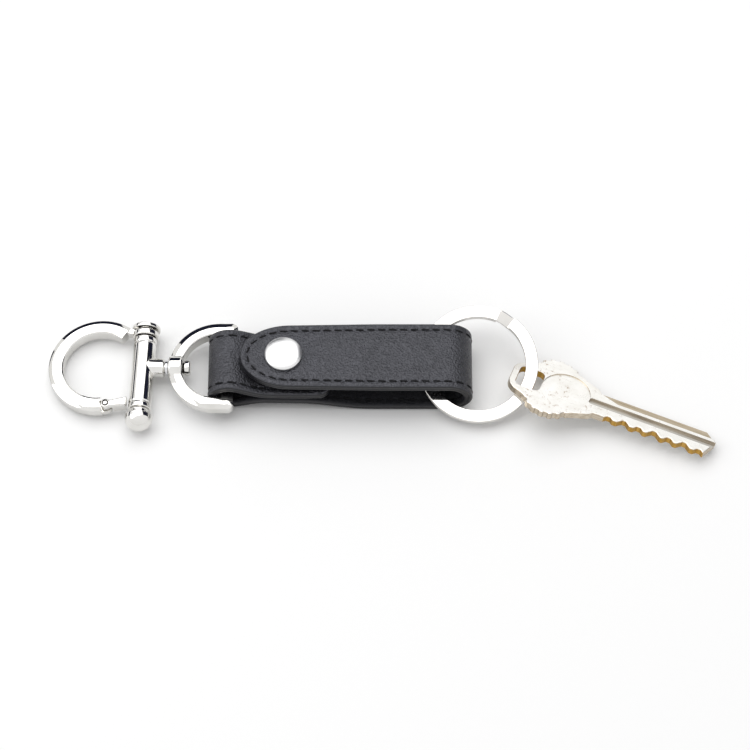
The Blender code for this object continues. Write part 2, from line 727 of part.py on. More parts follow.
def build_barrel(carrier, stem_end, pin_end):
    """The cross barrel, cast with the stem that takes the swivel pin."""
    far = BARREL_FAR
    near = BARREL_NEAR
    groove_root = BARREL_RADIUS - BARREL_GROOVE_DEPTH
    spigot_bore = SPIGOT_RADIUS + RUNNING_GAP
    spigot_depth = SPIGOT_LENGTH + RUNNING_GAP
    far_face = far + FAR_NECK_LENGTH
    near_face = near - NEAR_NECK_LENGTH
    profile = [
        (0, far_face - spigot_depth),
        (spigot_bore, far_face - spigot_depth),
        (spigot_bore, far_face),
        (BARREL_NECK_RADIUS, far_face),
        (BARREL_NECK_RADIUS, far),
        (BARREL_RADIUS - BARREL_GROOVE_DEPTH, far),
        (BARREL_RADIUS, far - BARREL_GROOVE_DEPTH),
        (BARREL_RADIUS, far - BARREL_GROOVE_PLACE),
        (groove_root, far - BARREL_GROOVE_PLACE - BARREL_GROOVE_WIDTH / 2),
        (BARREL_RADIUS, far - BARREL_GROOVE_PLACE - BARREL_GROOVE_WIDTH),
        (BARREL_RADIUS, near + BARREL_GROOVE_PLACE + BARREL_GROOVE_WIDTH),
        (groove_root, near + BARREL_GROOVE_PLACE + BARREL_GROOVE_WIDTH / 2),
        (BARREL_RADIUS, near + BARREL_GROOVE_PLACE),
        (BARREL_RADIUS, near + BARREL_GROOVE_DEPTH),
        (BARREL_RADIUS - BARREL_GROOVE_DEPTH, near),
        (BARREL_NECK_RADIUS, near),
        (BARREL_NECK_RADIUS, near_face),
        (spigot_bore, near_face),
        (spigot_bore, near_face + spigot_depth),
        (0, near_face + spigot_depth),
    ]
    place = CLASP_PLACE @ Matrix.Translation((BARREL_CENTRE, 0, 0))
    mesh = turned("cross_barrel", profile, "Y", 32)
    barrel = put("cross_barrel", mesh, bright_chrome("barrel_chrome"), place)
    edge = RUNNING_GAP
    stem = turned(
        "stem",
        [
            (0, stem_end),
            (SWIVEL_STEM_RADIUS - edge, stem_end),
            (SWIVEL_STEM_RADIUS, stem_end - edge),
            (SWIVEL_STEM_RADIUS, BARREL_CENTRE),
            (0, BARREL_CENTRE),
        ],
        "X",
        28,
    )
    cut(barrel, put_cutter("stem", stem, CLASP_PLACE), "UNION")
    radius = SWIVEL_PIN_RADIUS + RUNNING_GAP
    low = pin_end - TOUCH_GAP
    high = stem_end + OVERRUN
    bore = turned("stem_bore", [(0, high), (radius, high), (radius, low), (0, low)], "X", 24)
    cut(barrel, put_cutter("stem_bore", bore, CLASP_PLACE))
    hang(barrel, carrier)
    return far_face, near_face


def build_caps(carrier, far_face, near_face):
    place = CLASP_PLACE @ Matrix.Translation((BARREL_CENTRE, 0, 0))
    base = far_face + TOUCH_GAP
    rise = FAR_CAP_LENGTH / 2
    far_profile = dome(FAR_CAP_RADIUS, rise, FAR_CAP_LENGTH - rise, base, 4)[:-1]
    far_profile += [(SPIGOT_RADIUS, base), (SPIGOT_RADIUS, base - SPIGOT_LENGTH), (0, base - SPIGOT_LENGTH)]
    far_cap = put("far_cap", turned("far_cap", far_profile, "Y", 32), bright_chrome("far_cap_chrome"), place)
    hang(far_cap, carrier)
    base = near_face - TOUCH_GAP
    rim = NEAR_CAP_LENGTH - NEAR_CAP_RADIUS
    near_profile = dome(NEAR_CAP_RADIUS, NEAR_CAP_RADIUS, rim, 0, 7)[:-1]
    near_profile += [(SPIGOT_RADIUS, 0), (SPIGOT_RADIUS, -SPIGOT_LENGTH), (0, -SPIGOT_LENGTH)]
    mesh = turned("near_cap", near_profile, "Y", 32)
    mesh.transform(Matrix.Translation((0, base, 0)) @ Matrix.Rotation(math.pi, 4, "X"))
    hang(put("near_cap", mesh, bright_chrome("near_cap_chrome"), place), carrier)


def polar(radius, angle):
    return (BOW_CENTRE + radius * math.cos(angle), radius * math.sin(angle))


def build_bow(carrier, far_face):
    """The horseshoe: an eye on the barrel's neck at the far end and a half lug for the gate at the near end."""
    start = BOW_FAR_END_ANGLE
    end = 2 * math.pi + BOW_NEAR_END_ANGLE
    outline = arc((BOW_CENTRE, 0), BOW_OUTER_RADIUS, start, end, 40)
    outline += arc((BOW_CENTRE, 0), BOW_INNER_RADIUS, start, end, 34)[::-1]
    plate = outline_plate("bow", [outline], BOW_THICKNESS)
    bow = put("bow", plate, bright_chrome("bow_chrome"), CLASP_PLACE)
    round_edges(bow, BOW_EDGE_ROUND, 1, math.radians(40))
    # Tab and eye that grip the barrel's neck
    eye_far = far_face - RUNNING_GAP
    eye_near = BARREL_FAR + RUNNING_GAP
    eye_profile = [(0, eye_far), (EYE_RADIUS, eye_far), (EYE_RADIUS, eye_near), (0, eye_near)]
    eye = turned("eye", eye_profile, "Y", 28)
    at_barrel = CLASP_PLACE @ Matrix.Translation((BARREL_CENTRE, 0, 0))
    tab_root = polar(BOW_MIDDLE_RADIUS, BOW_FAR_END_ANGLE + TAB_ROOT_ANGLE)
    tab_outer = polar(BOW_OUTER_RADIUS - BOW_EDGE_ROUND, BOW_FAR_END_ANGLE + TAB_ROOT_ANGLE)
    tab = outline_plate(
        "tab",
        [[tab_root, (BARREL_CENTRE, eye_near + TAB_INSET), (BARREL_CENTRE, eye_far - TAB_INSET), tab_outer]],
        TAB_HEIGHT,
    )
    cut(bow, put_cutter("tab", tab, CLASP_PLACE), "UNION")
    cut(bow, put_cutter("eye", eye, at_barrel), "UNION")
    neck_bore = BARREL_NECK_RADIUS + TOUCH_GAP
    reach = far_face + OVERRUN
    foot = BARREL_FAR - RUNNING_GAP
    bore = turned("eye_bore", [(0, reach), (neck_bore, reach), (neck_bore, foot), (0, foot)], "Y", 28)
    cut(bow, put_cutter("eye_bore", bore, at_barrel))
    # Room for the knuckle's round back, then the half lug under the knuckle
    pivot_x, pivot_y = polar(BOW_MIDDLE_RADIUS, GATE_PIVOT_ANGLE)
    at_pivot = CLASP_PLACE @ Matrix.Translation((pivot_x, pivot_y, 0))
    back = GATE_KNUCKLE_RADIUS + RUNNING_GAP
    tall = BOW_THICKNESS
    room = turned("knuckle_room", [(0, tall), (back, tall), (back, -tall), (0, -tall)], sides=28)
    cut(bow, put_cutter("knuckle_room", room, at_pivot))
    lug_top = -RUNNING_GAP / 2
    lug_thickness = BOW_THICKNESS / 2 - RUNNING_GAP / 2 - BOW_EDGE_ROUND / 2
    lug_level = Matrix.Translation((0, 0, lug_top - lug_thickness / 2))
    root = polar(BOW_MIDDLE_RADIUS, BOW_NEAR_END_ANGLE - LUG_ROOT_ANGLE)
    lug = arc((pivot_x, pivot_y), GATE_LUG_RADIUS, -math.pi / 2, math.pi / 2, 10)
    lug += [(root[0], root[1] + GATE_LUG_RADIUS), (root[0], root[1] - GATE_LUG_RADIUS)]
    lug_plate = outline_plate("lug", [lug], lug_thickness)
    cut(bow, put_cutter("lug", lug_plate, CLASP_PLACE @ lug_level), "UNION")
    pin_bore = GATE_PIN_RADIUS + TOUCH_GAP
    half = BOW_THICKNESS / 2 + OVERRUN
    pin_hole = turned("pin_hole", [(0, half), (pin_bore, half), (pin_bore, -half), (0, -half)], sides=20)
    cut(bow, put_cutter("pin_hole", pin_hole, at_pivot))
    pocket_floor = lug_top - SPRING_POCKET_DEPTH
    pocket = turned(
        "spring_pocket",
        [(0, half), (SPRING_POCKET_RADIUS, half), (SPRING_POCKET_RADIUS, pocket_floor), (0, pocket_floor)],
        sides=24,
    )
    cut(bow, put_cutter("spring_pocket", pocket, at_pivot))
    hang(bow, carrier)
    return at_pivot, lug_top, pocket_floor


def build_gate(carrier, at_pivot, lug_top):
    """The gate: a round knuckle over the half lug, and a finger that closes on the barrel."""
    pivot_x = polar(BOW_MIDDLE_RADIUS, GATE_PIVOT_ANGLE)[0]
    tip = BARREL_CENTRE - BARREL_RADIUS - RUNNING_GAP - pivot_x
    root_half = GATE_ROOT_WIDTH / 2
    tip_half = GATE_TIP_WIDTH / 2
    top = BOW_THICKNESS / 2
    knuckle = arc((0, 0), GATE_KNUCKLE_RADIUS, math.radians(45), math.radians(315), 16)
    bridge = knuckle + [(tip, GATE_TIP_RISE - tip_half), (tip, GATE_TIP_RISE + tip_half)]
    upper_thickness = top - lug_top - RUNNING_GAP
    upper = outline_plate("gate", [bridge], upper_thickness)
    upper.transform(Matrix.Translation((0, 0, top - upper_thickness / 2)))
    gate = put("gate", upper, bright_chrome("gate_chrome"), at_pivot)
    finger_start = GATE_LUG_RADIUS + RUNNING_GAP
    finger_share = finger_start / tip
    start_rise = GATE_TIP_RISE * finger_share
    start_half = root_half + (tip_half - root_half) * finger_share
    finger = outline_plate(
        "gate_finger",
        [
            [
                (finger_start, start_rise - start_half),
                (tip - GATE_TIP_ROUND, GATE_TIP_RISE - tip_half + GATE_TIP_ROUND / 2),
                (tip - GATE_TIP_ROUND, GATE_TIP_RISE + tip_half - GATE_TIP_ROUND / 2),
                (finger_start, start_rise + start_half),
            ]
        ],
        BOW_THICKNESS - BOW_EDGE_ROUND,
    )
    finger_level = Matrix.Translation((0, 0, -BOW_EDGE_ROUND / 4))
    cut(gate, put_cutter("gate_finger", finger, at_pivot @ finger_level), "UNION")
    pin_bore = GATE_PIN_RADIUS + TOUCH_GAP
    half = BOW_THICKNESS
    hole = turned("gate_pin_hole", [(0, half), (pin_bore, half), (pin_bore, -half), (0, -half)], sides=20)
    cut(gate, put_cutter("gate_pin_hole", hole, at_pivot))
    hang(gate, carrier)


def build_gate_pin(carrier, at_pivot):
    top = BOW_THICKNESS / 2 + GATE_PIN_PROUD
    low = -BOW_THICKNESS / 2
    edge = GATE_PIN_PROUD
    profile = [
        (0, top),
        (GATE_PIN_RADIUS - edge, top),
        (GATE_PIN_RADIUS, top - edge),
        (GATE_PIN_RADIUS, low),
        (0, low),
    ]
    pin = put("gate_pin", turned("gate_pin", profile, sides=20), bright_chrome("gate_pin_steel"), at_pivot)
    hang(pin, carrier)


def build_gate_spring(carrier, at_pivot, lug_top, pocket_floor):
    """A torsion coil round the pin, in its pocket in the half lug."""
    coil_radius = (GATE_PIN_RADIUS + TOUCH_GAP + SPRING_POCKET_RADIUS) / 2
    low = pocket_floor + TOUCH_GAP / 2 + SPRING_WIRE_RADIUS
    high = lug_top - TOUCH_GAP / 2 - SPRING_WIRE_RADIUS
    curve = bpy.data.curves.new("gate_spring", "CURVE")
    curve.dimensions = "3D"
    curve.bevel_depth = SPRING_WIRE_RADIUS
    curve.bevel_resolution = 1
    curve.use_fill_caps = True
    spline = curve.splines.new("POLY")
    points_per_turn = 12
    count = round(SPRING_TURNS * points_per_turn)
    spline.points.add(count)
    for index, point in enumerate(spline.points):
        angle = 2 * math.pi * index / points_per_turn
        height = low + (high - low) * index / count
        point.co = (coil_radius * math.cos(angle), coil_radius * math.sin(angle), height, 1)
    spring = put("gate_spring", mesh_of_curve(curve), dark_steel("gate_spring_wire"), at_pivot)
    hang(spring, carrier)


def ring_step(travel):
    """Level of the ring's wire after a travel along its two turns, from the lower layer to the upper."""
    level = (RING_WIRE_THICKNESS + RING_TURN_GAP) / 2
    share = (travel - (2 * math.pi - RING_STEP_SPAN)) / RING_STEP_SPAN
    share = min(max(share, 0), 1)
    return level * (2 * share * share * (3 - 2 * share) - 1)


def build_split_ring(carrier):
    """One flat wire wound twice, with a step where it climbs over its own start."""
    section = bpy.data.curves.new("ring_section", "CURVE")
    section.dimensions = "2D"
    half_w = RING_BAND / 2
    half_t = RING_WIRE_THICKNESS / 2
    edge = RING_EDGE_ROUND
    corners = [
        (half_w - edge, half_t),
        (half_w, half_t - edge),
        (half_w, edge - half_t),
        (half_w - edge, -half_t),
        (edge - half_w, -half_t),
        (-half_w, edge - half_t),
        (-half_w, half_t - edge),
        (edge - half_w, half_t),
    ]
    outline = section.splines.new("POLY")
    outline.points.add(len(corners) - 1)
    for point, (x, y) in zip(outline.points, corners):
        point.co = (x, y, 0, 1)
    outline.use_cyclic_u = True
    guide = put_cutter("ring_section", section)
    path = bpy.data.curves.new("split_ring", "CURVE")
    path.dimensions = "3D"
    path.twist_mode = "Z_UP"
    path.bevel_mode = "OBJECT"
    path.bevel_object = guide
    path.use_fill_caps = True
    whole = 4 * math.pi - RING_STEP_SPAN - RING_TIP_GAP / RING_MIDDLE_RADIUS
    steps = 116
    spline = path.splines.new("POLY")
    spline.points.add(steps)
    for index, point in enumerate(spline.points):
        travel = whole * index / steps
        angle = RING_SPLIT_ANGLE + travel
        x = RING_MIDDLE_RADIUS * math.cos(angle)
        y = RING_MIDDLE_RADIUS * math.sin(angle)
        point.co = (x, y, ring_step(travel), 1)
    ring = put("split_ring", mesh_of_curve(path), bright_chrome("split_ring_nickel"), RING_PLACE)
    hang(ring, carrier)


def key_outline():
    """The key's plan, from the middle of its hole end, with the cuts along the near edge."""
    half_bow = KEY_BOW_WIDTH / 2
    half_blade = KEY_BLADE_WIDTH / 2
    side = [(x * KEY_BOW_LENGTH, y * half_bow) for x, y in KEY_BOW_SHARES]
    end = KEY_LENGTH - KEY_TIP_LENGTH
    neck = KEY_BLADE_START - KEY_SHOULDER_STEP
    far_side = side + [(neck, half_blade + KEY_SHOULDER_STEP), (KEY_BLADE_START, half_blade)]
    far_side.append((end, half_blade))
    tip_far = half_blade - KEY_TIP_LENGTH
    tip = [(KEY_LENGTH, tip_far), (KEY_LENGTH - KEY_TIP_SKEW, -tip_far)]
    near_side = [(x, -y) for x, y in side]
    near_side += [(neck, -half_blade - KEY_SHOULDER_STEP), (KEY_BLADE_START, -half_blade)]
    first = KEY_BLADE_START + KEY_PLAIN_START
    pitch = (end - KEY_PLAIN_END - first) / (len(KEY_CUT_DEPTH_SHARES) - 1)
    for index, share in enumerate(KEY_CUT_DEPTH_SHARES):
        middle = first + pitch * index
        depth = KEY_BLADE_WIDTH * share
        flank = pitch * KEY_CUT_FLANK_SHARE * share / max(KEY_CUT_DEPTH_SHARES)
        root = pitch * KEY_CUT_ROOT_SHARE / 2
        near_side.append((middle - root - flank, -half_blade))
        near_side.append((middle - root, -half_blade + depth))
        near_side.append((middle + root, -half_blade + depth))
        near_side.append((middle + root + flank, -half_blade))
    return far_side + tip + near_side[::-1]


def rounded_box(width, height, radius):
    x = width / 2 - radius
    y = height / 2 - radius
    points = arc((x, y), radius, 0, math.pi / 2, 4)
    points += arc((-x, y), radius, math.pi / 2, math.pi, 4)
    points += arc((-x, -y), radius, math.pi, math.pi * 3 / 2, 4)
    points += arc((x, -y), radius, math.pi * 3 / 2, math.pi * 2, 4)
    return points


def build_key(carrier):
    """A pin-tumbler key: stamped blank with a milled groove each side and cuts along one edge."""
    hole_middle = KEY_HOLE_RIM + KEY_HOLE_LENGTH / 2
    start = Matrix.Translation((-hole_middle, 0, 0))
    blank = outline_plate("key", [key_outline()], KEY_THICKNESS)
    key = put("key", blank, nickel_brass("key_nickel"), KEY_PLACE @ start)
    round_edges(key, KEY_EDGE_ROUND, 1, math.radians(60))
    tall = KEY_THICKNESS + OVERRUN
    hole = outline_plate("key_hole", [rounded_box(KEY_HOLE_LENGTH, KEY_HOLE_WIDTH, KEY_HOLE_CORNER)], tall)
    cut(key, put_cutter("key_hole", hole, KEY_PLACE))
    # Milled grooves, one on each face, that run out at the tip
    for name, side, width, offset in (
        ("upper_groove", 1, KEY_UPPER_GROOVE_WIDTH, KEY_UPPER_GROOVE_OFFSET),
        ("lower_groove", -1, KEY_LOWER_GROOVE_WIDTH, KEY_LOWER_GROOVE_OFFSET),
    ):
        groove_start = KEY_BLADE_START - width
        groove_length = KEY_LENGTH + OVERRUN - groove_start
        groove = outline_plate(name, [rounded_box(groove_length, width, width / 3)], KEY_THICKNESS)
        level = side * (KEY_THICKNESS - KEY_GROOVE_DEPTH)
        place = KEY_PLACE @ start @ Matrix.Translation((groove_start + groove_length / 2, offset, level))
        cut(key, put_cutter(name, groove, place))
    # A rebate along the far edge of the upper face, which narrows to nothing towards the bow
    half_blade = KEY_BLADE_WIDTH / 2
    rebate = [
        (KEY_BLADE_START, half_blade - KEY_SHOULDER_STEP / 2),
        (KEY_BLADE_START + KEY_REBATE_RUN_OUT, half_blade - KEY_REBATE_WIDTH),
        (KEY_LENGTH + OVERRUN, half_blade - KEY_REBATE_WIDTH),
        (KEY_LENGTH + OVERRUN, half_blade + OVERRUN),
        (KEY_BLADE_START, half_blade + OVERRUN),
    ]
    level = KEY_THICKNESS - KEY_REBATE_DEPTH
    place = KEY_PLACE @ start @ Matrix.Translation((0, 0, level))
    cut(key, put_cutter("far_rebate", outline_plate("far_rebate", [rebate], KEY_THICKNESS), place))
    recess_middle = (KEY_HOLE_RIM + KEY_HOLE_LENGTH + KEY_BLADE_START) / 2
    recess_length = KEY_BLADE_START - KEY_HOLE_RIM - KEY_HOLE_LENGTH - KEY_BORDER_WIDTH - KEY_BORDER_WIDTH
    recess_width = KEY_BOW_WIDTH * KEY_RECESS_SHARE
    for side, name in ((1, "upper_recess"), (-1, "lower_recess")):
        turns = [2 * math.pi * step / 24 for step in range(24)]
        oval = [(recess_length / 2 * math.cos(turn), recess_width / 2 * math.sin(turn)) for turn in turns]
        level = side * (KEY_THICKNESS - KEY_BORDER_DEPTH)
        place = KEY_PLACE @ start @ Matrix.Translation((recess_middle - KEY_BORDER_WIDTH, 0, level))
        cut(key, put_cutter(name, outline_plate(name, [oval], KEY_THICKNESS), place))
    hang(key, carrier)


FLAP_PIVOT = pivot("flap_pivot", Matrix.Translation((FLAP_SPLIT, 0, RIGHT_LOOP_HEIGHT + TOUCH_GAP)))
D_PIVOT = pivot("d_ring_pivot", CLASP_PLACE)
CLASP_PIVOT = pivot("clasp_pivot", CLASP_PLACE)
hang(CLASP_PIVOT, D_PIVOT)
build_strap()
build_flap(FLAP_PIVOT)
build_snap(FLAP_PIVOT)
D_LEFT = build_d_ring(D_PIVOT)
STEM_END, PIN_END = build_swivel(CLASP_PIVOT, D_LEFT)
FAR_FACE, NEAR_FACE = build_barrel(CLASP_PIVOT, STEM_END, PIN_END)
build_caps(CLASP_PIVOT, FAR_FACE, NEAR_FACE)
GATE_PLACE, LUG_TOP, POCKET_FLOOR = build_bow(CLASP_PIVOT, FAR_FACE)
GATE_PIVOT = pivot("gate_pivot", GATE_PLACE)
hang(GATE_PIVOT, CLASP_PIVOT)
build_gate(GATE_PIVOT, GATE_PLACE, LUG_TOP)
build_gate_pin(CLASP_PIVOT, GATE_PLACE)
build_gate_spring(CLASP_PIVOT, GATE_PLACE, LUG_TOP, POCKET_FLOOR)
RING_PIVOT = pivot("ring_pivot", Matrix.Translation((RING_CENTRE_X, 0, ROCK_HEIGHT)))
build_split_ring(RING_PIVOT)
KEY_PIVOT = pivot("key_pivot", RING_PLACE)
hang(KEY_PIVOT, RING_PIVOT)
build_key(KEY_PIVOT)
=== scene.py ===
"""A valet keychain on a pale table: a folded leather strap with a horseshoe clasp and a door key."""
import math

import bmesh
import bpy
from mathutils import Matrix, Vector


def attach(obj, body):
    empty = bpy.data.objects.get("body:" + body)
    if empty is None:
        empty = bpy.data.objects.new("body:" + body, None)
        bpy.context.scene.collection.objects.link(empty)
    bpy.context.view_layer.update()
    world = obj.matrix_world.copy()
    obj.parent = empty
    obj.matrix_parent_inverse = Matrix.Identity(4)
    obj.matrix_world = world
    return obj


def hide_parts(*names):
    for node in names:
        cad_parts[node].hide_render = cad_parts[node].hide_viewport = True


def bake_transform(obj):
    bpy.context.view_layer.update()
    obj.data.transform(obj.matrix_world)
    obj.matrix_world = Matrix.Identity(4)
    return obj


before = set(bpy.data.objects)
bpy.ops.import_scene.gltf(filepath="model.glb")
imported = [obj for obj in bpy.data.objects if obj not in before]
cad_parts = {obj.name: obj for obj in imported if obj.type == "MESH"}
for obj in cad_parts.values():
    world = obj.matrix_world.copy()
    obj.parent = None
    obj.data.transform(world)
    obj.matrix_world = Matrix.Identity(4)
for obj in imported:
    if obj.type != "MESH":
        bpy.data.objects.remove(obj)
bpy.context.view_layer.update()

MM = 0.001


# The camera looks down at 62 degrees from the near side, on a long lens, so that the picture hardly tapers.
# The picture is square, 750 by 750.
CAMERA_AIM = Vector((0, 0.0009, 0))
CAMERA_DISTANCE = 0.760
CAMERA_ELEVATION = math.radians(62)
CAMERA_LENS = 144
SENSOR_WIDTH = 36
camera_data = bpy.data.cameras.new("camera")
camera_data.lens = CAMERA_LENS
camera_data.sensor_width = SENSOR_WIDTH
camera = bpy.data.objects.new("camera", camera_data)
bpy.context.scene.collection.objects.link(camera)
camera_back = Vector((0, -math.cos(CAMERA_ELEVATION), math.sin(CAMERA_ELEVATION)))
camera.location = CAMERA_AIM + camera_back * CAMERA_DISTANCE
camera.rotation_mode = "QUATERNION"
camera.rotation_quaternion = (-camera_back).to_track_quat("-Z", "Y")
bpy.context.scene.camera = camera
bpy.context.scene.view_settings.view_transform = "Standard"


# The table is one pale matt sheet. Three dark cards stand out of the picture, on the far side, at the right
# and at the left, and give the polished metal its dark edges. Soft lamps hang over the far side and at the
# left.
TABLE_REACH = 4.0
TABLE_DROP = 0.2 * MM
STAGE_SHINE = 0.1
ROOM_LEVEL = 0.50
SEEN_ROOM_LEVEL = 1.0


def new_material(name):
    """A material, its node tree and the inputs of its shader."""
    material = bpy.data.materials.new(name)
    material.use_nodes = True
    return material, material.node_tree, material.node_tree.nodes["Principled BSDF"].inputs


def matt_material(name, colour, roughness):
    material, tree, look = new_material(name)
    look["Base Color"].default_value = (*colour, 1)
    look["Roughness"].default_value = roughness
    look["Specular IOR Level"].default_value = STAGE_SHINE
    return material


def new_piece(name, mesh, material=None):
    piece = bpy.data.objects.new(name, mesh)
    bpy.context.scene.collection.objects.link(piece)
    if material is not None:
        mesh.materials.append(material)
    return piece


def sheet_of_corners(name, corners, material):
    mesh = bpy.data.meshes.new(name)
    mesh.from_pydata(corners, [], [tuple(range(len(corners)))])
    mesh.update(calc_edges=True)
    sheet = new_piece(name, mesh, material)
    return sheet


table_corners = [(x * TABLE_REACH, y * TABLE_REACH, 0) for x, y in ((-1, -1), (1, -1), (1, 1), (-1, 1))]
table = sheet_of_corners("table", table_corners, matt_material("pale_table", (0.97, 0.97, 0.97), 0.6))
table.location.z = -TABLE_DROP
card_material = matt_material("dark_card", (0.012, 0.014, 0.030), 0.9)
for name, corners in (
    ("far_card", [(-1.15, 1.5, 0.03), (0.02, 1.5, 0.03), (0.02, 1.5, 1.28), (-1.15, 1.5, 1.28)]),
    ("right_card", [(1.3, 0.15, 0.03), (1.3, 1.9, 0.03), (1.3, 1.9, 2.2), (1.3, 0.15, 1.5)]),
    ("left_card", [(-1.3, 0.2, 0.10), (-1.3, 1.2, 0.10), (-1.3, 1.2, 0.50), (-1.3, 0.2, 0.42)]),
):
    card = sheet_of_corners(name, corners, card_material)
    card.visible_camera = False
    card.visible_diffuse = False
    card.visible_shadow = False


def soft_lamp(name, place, aim, width, height, power):
    light = bpy.data.lights.new(name, "AREA")
    light.shape = "RECTANGLE"
    light.size = width
    light.size_y = height
    light.energy = power
    lamp = bpy.data.objects.new(name, light)
    bpy.context.scene.collection.objects.link(lamp)
    lamp.location = place
    lamp.rotation_mode = "QUATERNION"
    lamp.rotation_quaternion = (Vector(aim) - Vector(place)).to_track_quat("-Z", "Y")


soft_lamp("far_lamp", (-0.15, 0.55, 1.42), (0, 0, 0), 2.0, 1.6, 16.5)
soft_lamp("left_lamp", (-1.1, -0.1, 0.9), (0, 0, 0), 0.8, 0.8, 3.0)
world = bpy.data.worlds.new("pale_room")
bpy.context.scene.world = world
world.use_nodes = True
room_nodes, room_links = world.node_tree.nodes, world.node_tree.links
room = room_nodes["Background"]
room.inputs["Color"].default_value = (1, 1, 1, 1)
rays = room_nodes.new("ShaderNodeLightPath").outputs
seen = rays["Is Camera Ray"]
for kind in ("Is Glossy Ray", "Is Transmission Ray"):
    either = room_nodes.new("ShaderNodeMath")
    either.operation = "ADD"
    either.use_clamp = True
    room_links.new(seen, either.inputs[0])
    room_links.new(rays[kind], either.inputs[1])
    seen = either.outputs[0]
room_level = room_nodes.new("ShaderNodeMapRange")
room_level.inputs["To Min"].default_value = ROOM_LEVEL
room_level.inputs["To Max"].default_value = SEEN_ROOM_LEVEL
room_links.new(seen, room_level.inputs["Value"])
room_links.new(room_level.outputs["Result"], room.inputs["Strength"])


# The strap is two skins of black calf, glued back to back, with a painted edge. From a loose end that is
# turned back over itself it goes round the bar of the D-ring and along the table, and ends under the ring
# loop.
GLUE_GAP = 0.15 * MM
PLY_THICKNESS = 1.1 * MM
HALF_STRAP = (PLY_THICKNESS + GLUE_GAP + PLY_THICKNESS) / 2
STRAP_WIDTH = 18.0 * MM
STRAP_WIDTH_AT_CLASP = 16.8 * MM
CLASP_LOOP_CENTRE = (-36.6 * MM, 5.3 * MM)
CLASP_LOOP_RADIUS = 2.95 * MM + HALF_STRAP
CLASP_LOOP_CLOSING = math.radians(15)
RING_LOOP_HEIGHT = 12.3 * MM
RING_LOOP_CENTRE = (24.4 * MM - RING_LOOP_HEIGHT / 2, RING_LOOP_HEIGHT / 2)
RING_LOOP_RADIUS = RING_LOOP_HEIGHT / 2 - HALF_STRAP
SNAP_X = -22.9 * MM
SNAP_SEAT = 4.0 * MM
ARCH_HEIGHT = 2.4 * MM
ARCH_END = -2.0 * MM
LAYER_GAP = 0.3 * MM
LOOSE_END = -11.2 * MM
LOOSE_END_LIFT = 0.6 * MM
LOOSE_CORNER = 2.8 * MM
STRAP_JOIN = 8.0 * MM
EDGE_ROUND = 0.5 * MM
SEAM_NOTCH = 0.07 * MM
STITCH_INSET = 1.75 * MM
STITCH_FURROW = 0.17 * MM
STITCH_FURROW_HALF = 0.34 * MM
BORDER_CROWN = 0.05 * MM
STATION_GAP = 0.40 * MM
# Distances in mm from the edge at which the leather's cross-section has its points, closer where it curves
EDGE_INSETS = [
    0, 0.03, 0.10, 0.20, 0.33, 0.50, 0.75, 1.05, 1.30, 1.50,
    1.64, 1.75, 1.86, 2.0, 2.25, 2.7, 3.4, 4.4, 5.6, 7.2,
]
EDGE_LEVELS = [1, 0.5, 0.12, 0, -0.12, -0.5, -1]
OUTER_FACE, EDGE, INNER_FACE = range(3)


def arc_line(centre, radius, start, end, steps):
    angles = [start + (end - start) * step / steps for step in range(steps + 1)]
    return [
        Vector((centre[0] + radius * math.cos(angle), centre[1] + radius * math.sin(angle)))
        for angle in angles
    ]


def pulled(start, start_pull, end, end_pull, t):
    """A point t of the way between two points, on a run that is pulled on at its start and at its end."""
    return (
        start * (2 * t**3 - 3 * t**2 + 1)
        + start_pull * (t**3 - 2 * t**2 + t)
        + end * (3 * t**2 - 2 * t**3)
        + end_pull * (t**3 - t**2)
    )


def eased_line(start, start_way, end, end_way, steps):
    """A smooth run between two points, leaving and arriving along the given ways."""
    start, end = Vector(start), Vector(end)
    reach = (end - start).length
    start_pull, end_pull = Vector(start_way) * reach, Vector(end_way) * reach
    return [pulled(start, start_pull, end, end_pull, step / steps) for step in range(steps + 1)]


def at_distances(line, distances):
    """Points of a line at the given distances along it, with the way that the line runs there."""
    lengths = [0]
    for before, after in zip(line, line[1:]):
        lengths.append(lengths[-1] + (after - before).length)
    places = []
    index = 0
    for distance in distances:
        distance = min(max(distance, 0), lengths[-1])
        while index < len(line) - 2 and lengths[index + 1] < distance:
            index += 1
        span = lengths[index + 1] - lengths[index]
        share = (distance - lengths[index]) / span if span else 0
        low, high = max(index - 1, 0), min(index + 2, len(line) - 1)
        ahead = line[high] - line[index]
        behind = line[index + 1] - line[low]
        way = (behind * (1 - share) + ahead * share).normalized()
        places.append((line[index].lerp(line[index + 1], share), way))
    return places


def line_length(line):
    return sum((after - before).length for before, after in zip(line, line[1:]))


def spread(start, end, gap):
    """Evenly spaced distances from start to end, both counted."""
    count = max(round((end - start) / gap), 1)
    return [start + (end - start) * index / count for index in range(count + 1)]


def strap_half_width(x):
    share = min(max(x / CLASP_LOOP_CENTRE[0], 0), 1)
    return STRAP_WIDTH / 2 - share * (STRAP_WIDTH - STRAP_WIDTH_AT_CLASP) / 2


def edge_fall(distance):
    """How far the leather's face falls towards its rounded edge."""
    short = max(EDGE_ROUND - distance, 0)
    return EDGE_ROUND - math.sqrt(max(EDGE_ROUND**2 - short**2, 0))


def face_relief(distance):
    """The furrow that the stitches pull, and the slight crown of the border outside it."""
    furrow = STITCH_FURROW * math.exp(-(((distance - STITCH_INSET) / STITCH_FURROW_HALF) ** 2))
    crown = BORDER_CROWN * math.exp(-(((distance - STITCH_INSET / 2) / STITCH_FURROW_HALF) ** 2))
    return crown - furrow


def row_faces(rows, count, closed=False, first=0):
    """Faces between rows of points, each row a closed outline. Closed joins the last row to the first."""
    faces = []
    for row in range(rows if closed else rows - 1):
        here = first + row * count
        there = first + (row + 1) % rows * count
        for column in range(count):
            after = (column + 1) % count
            faces.append((here + column, here + after, there + after, there + column))
    return faces


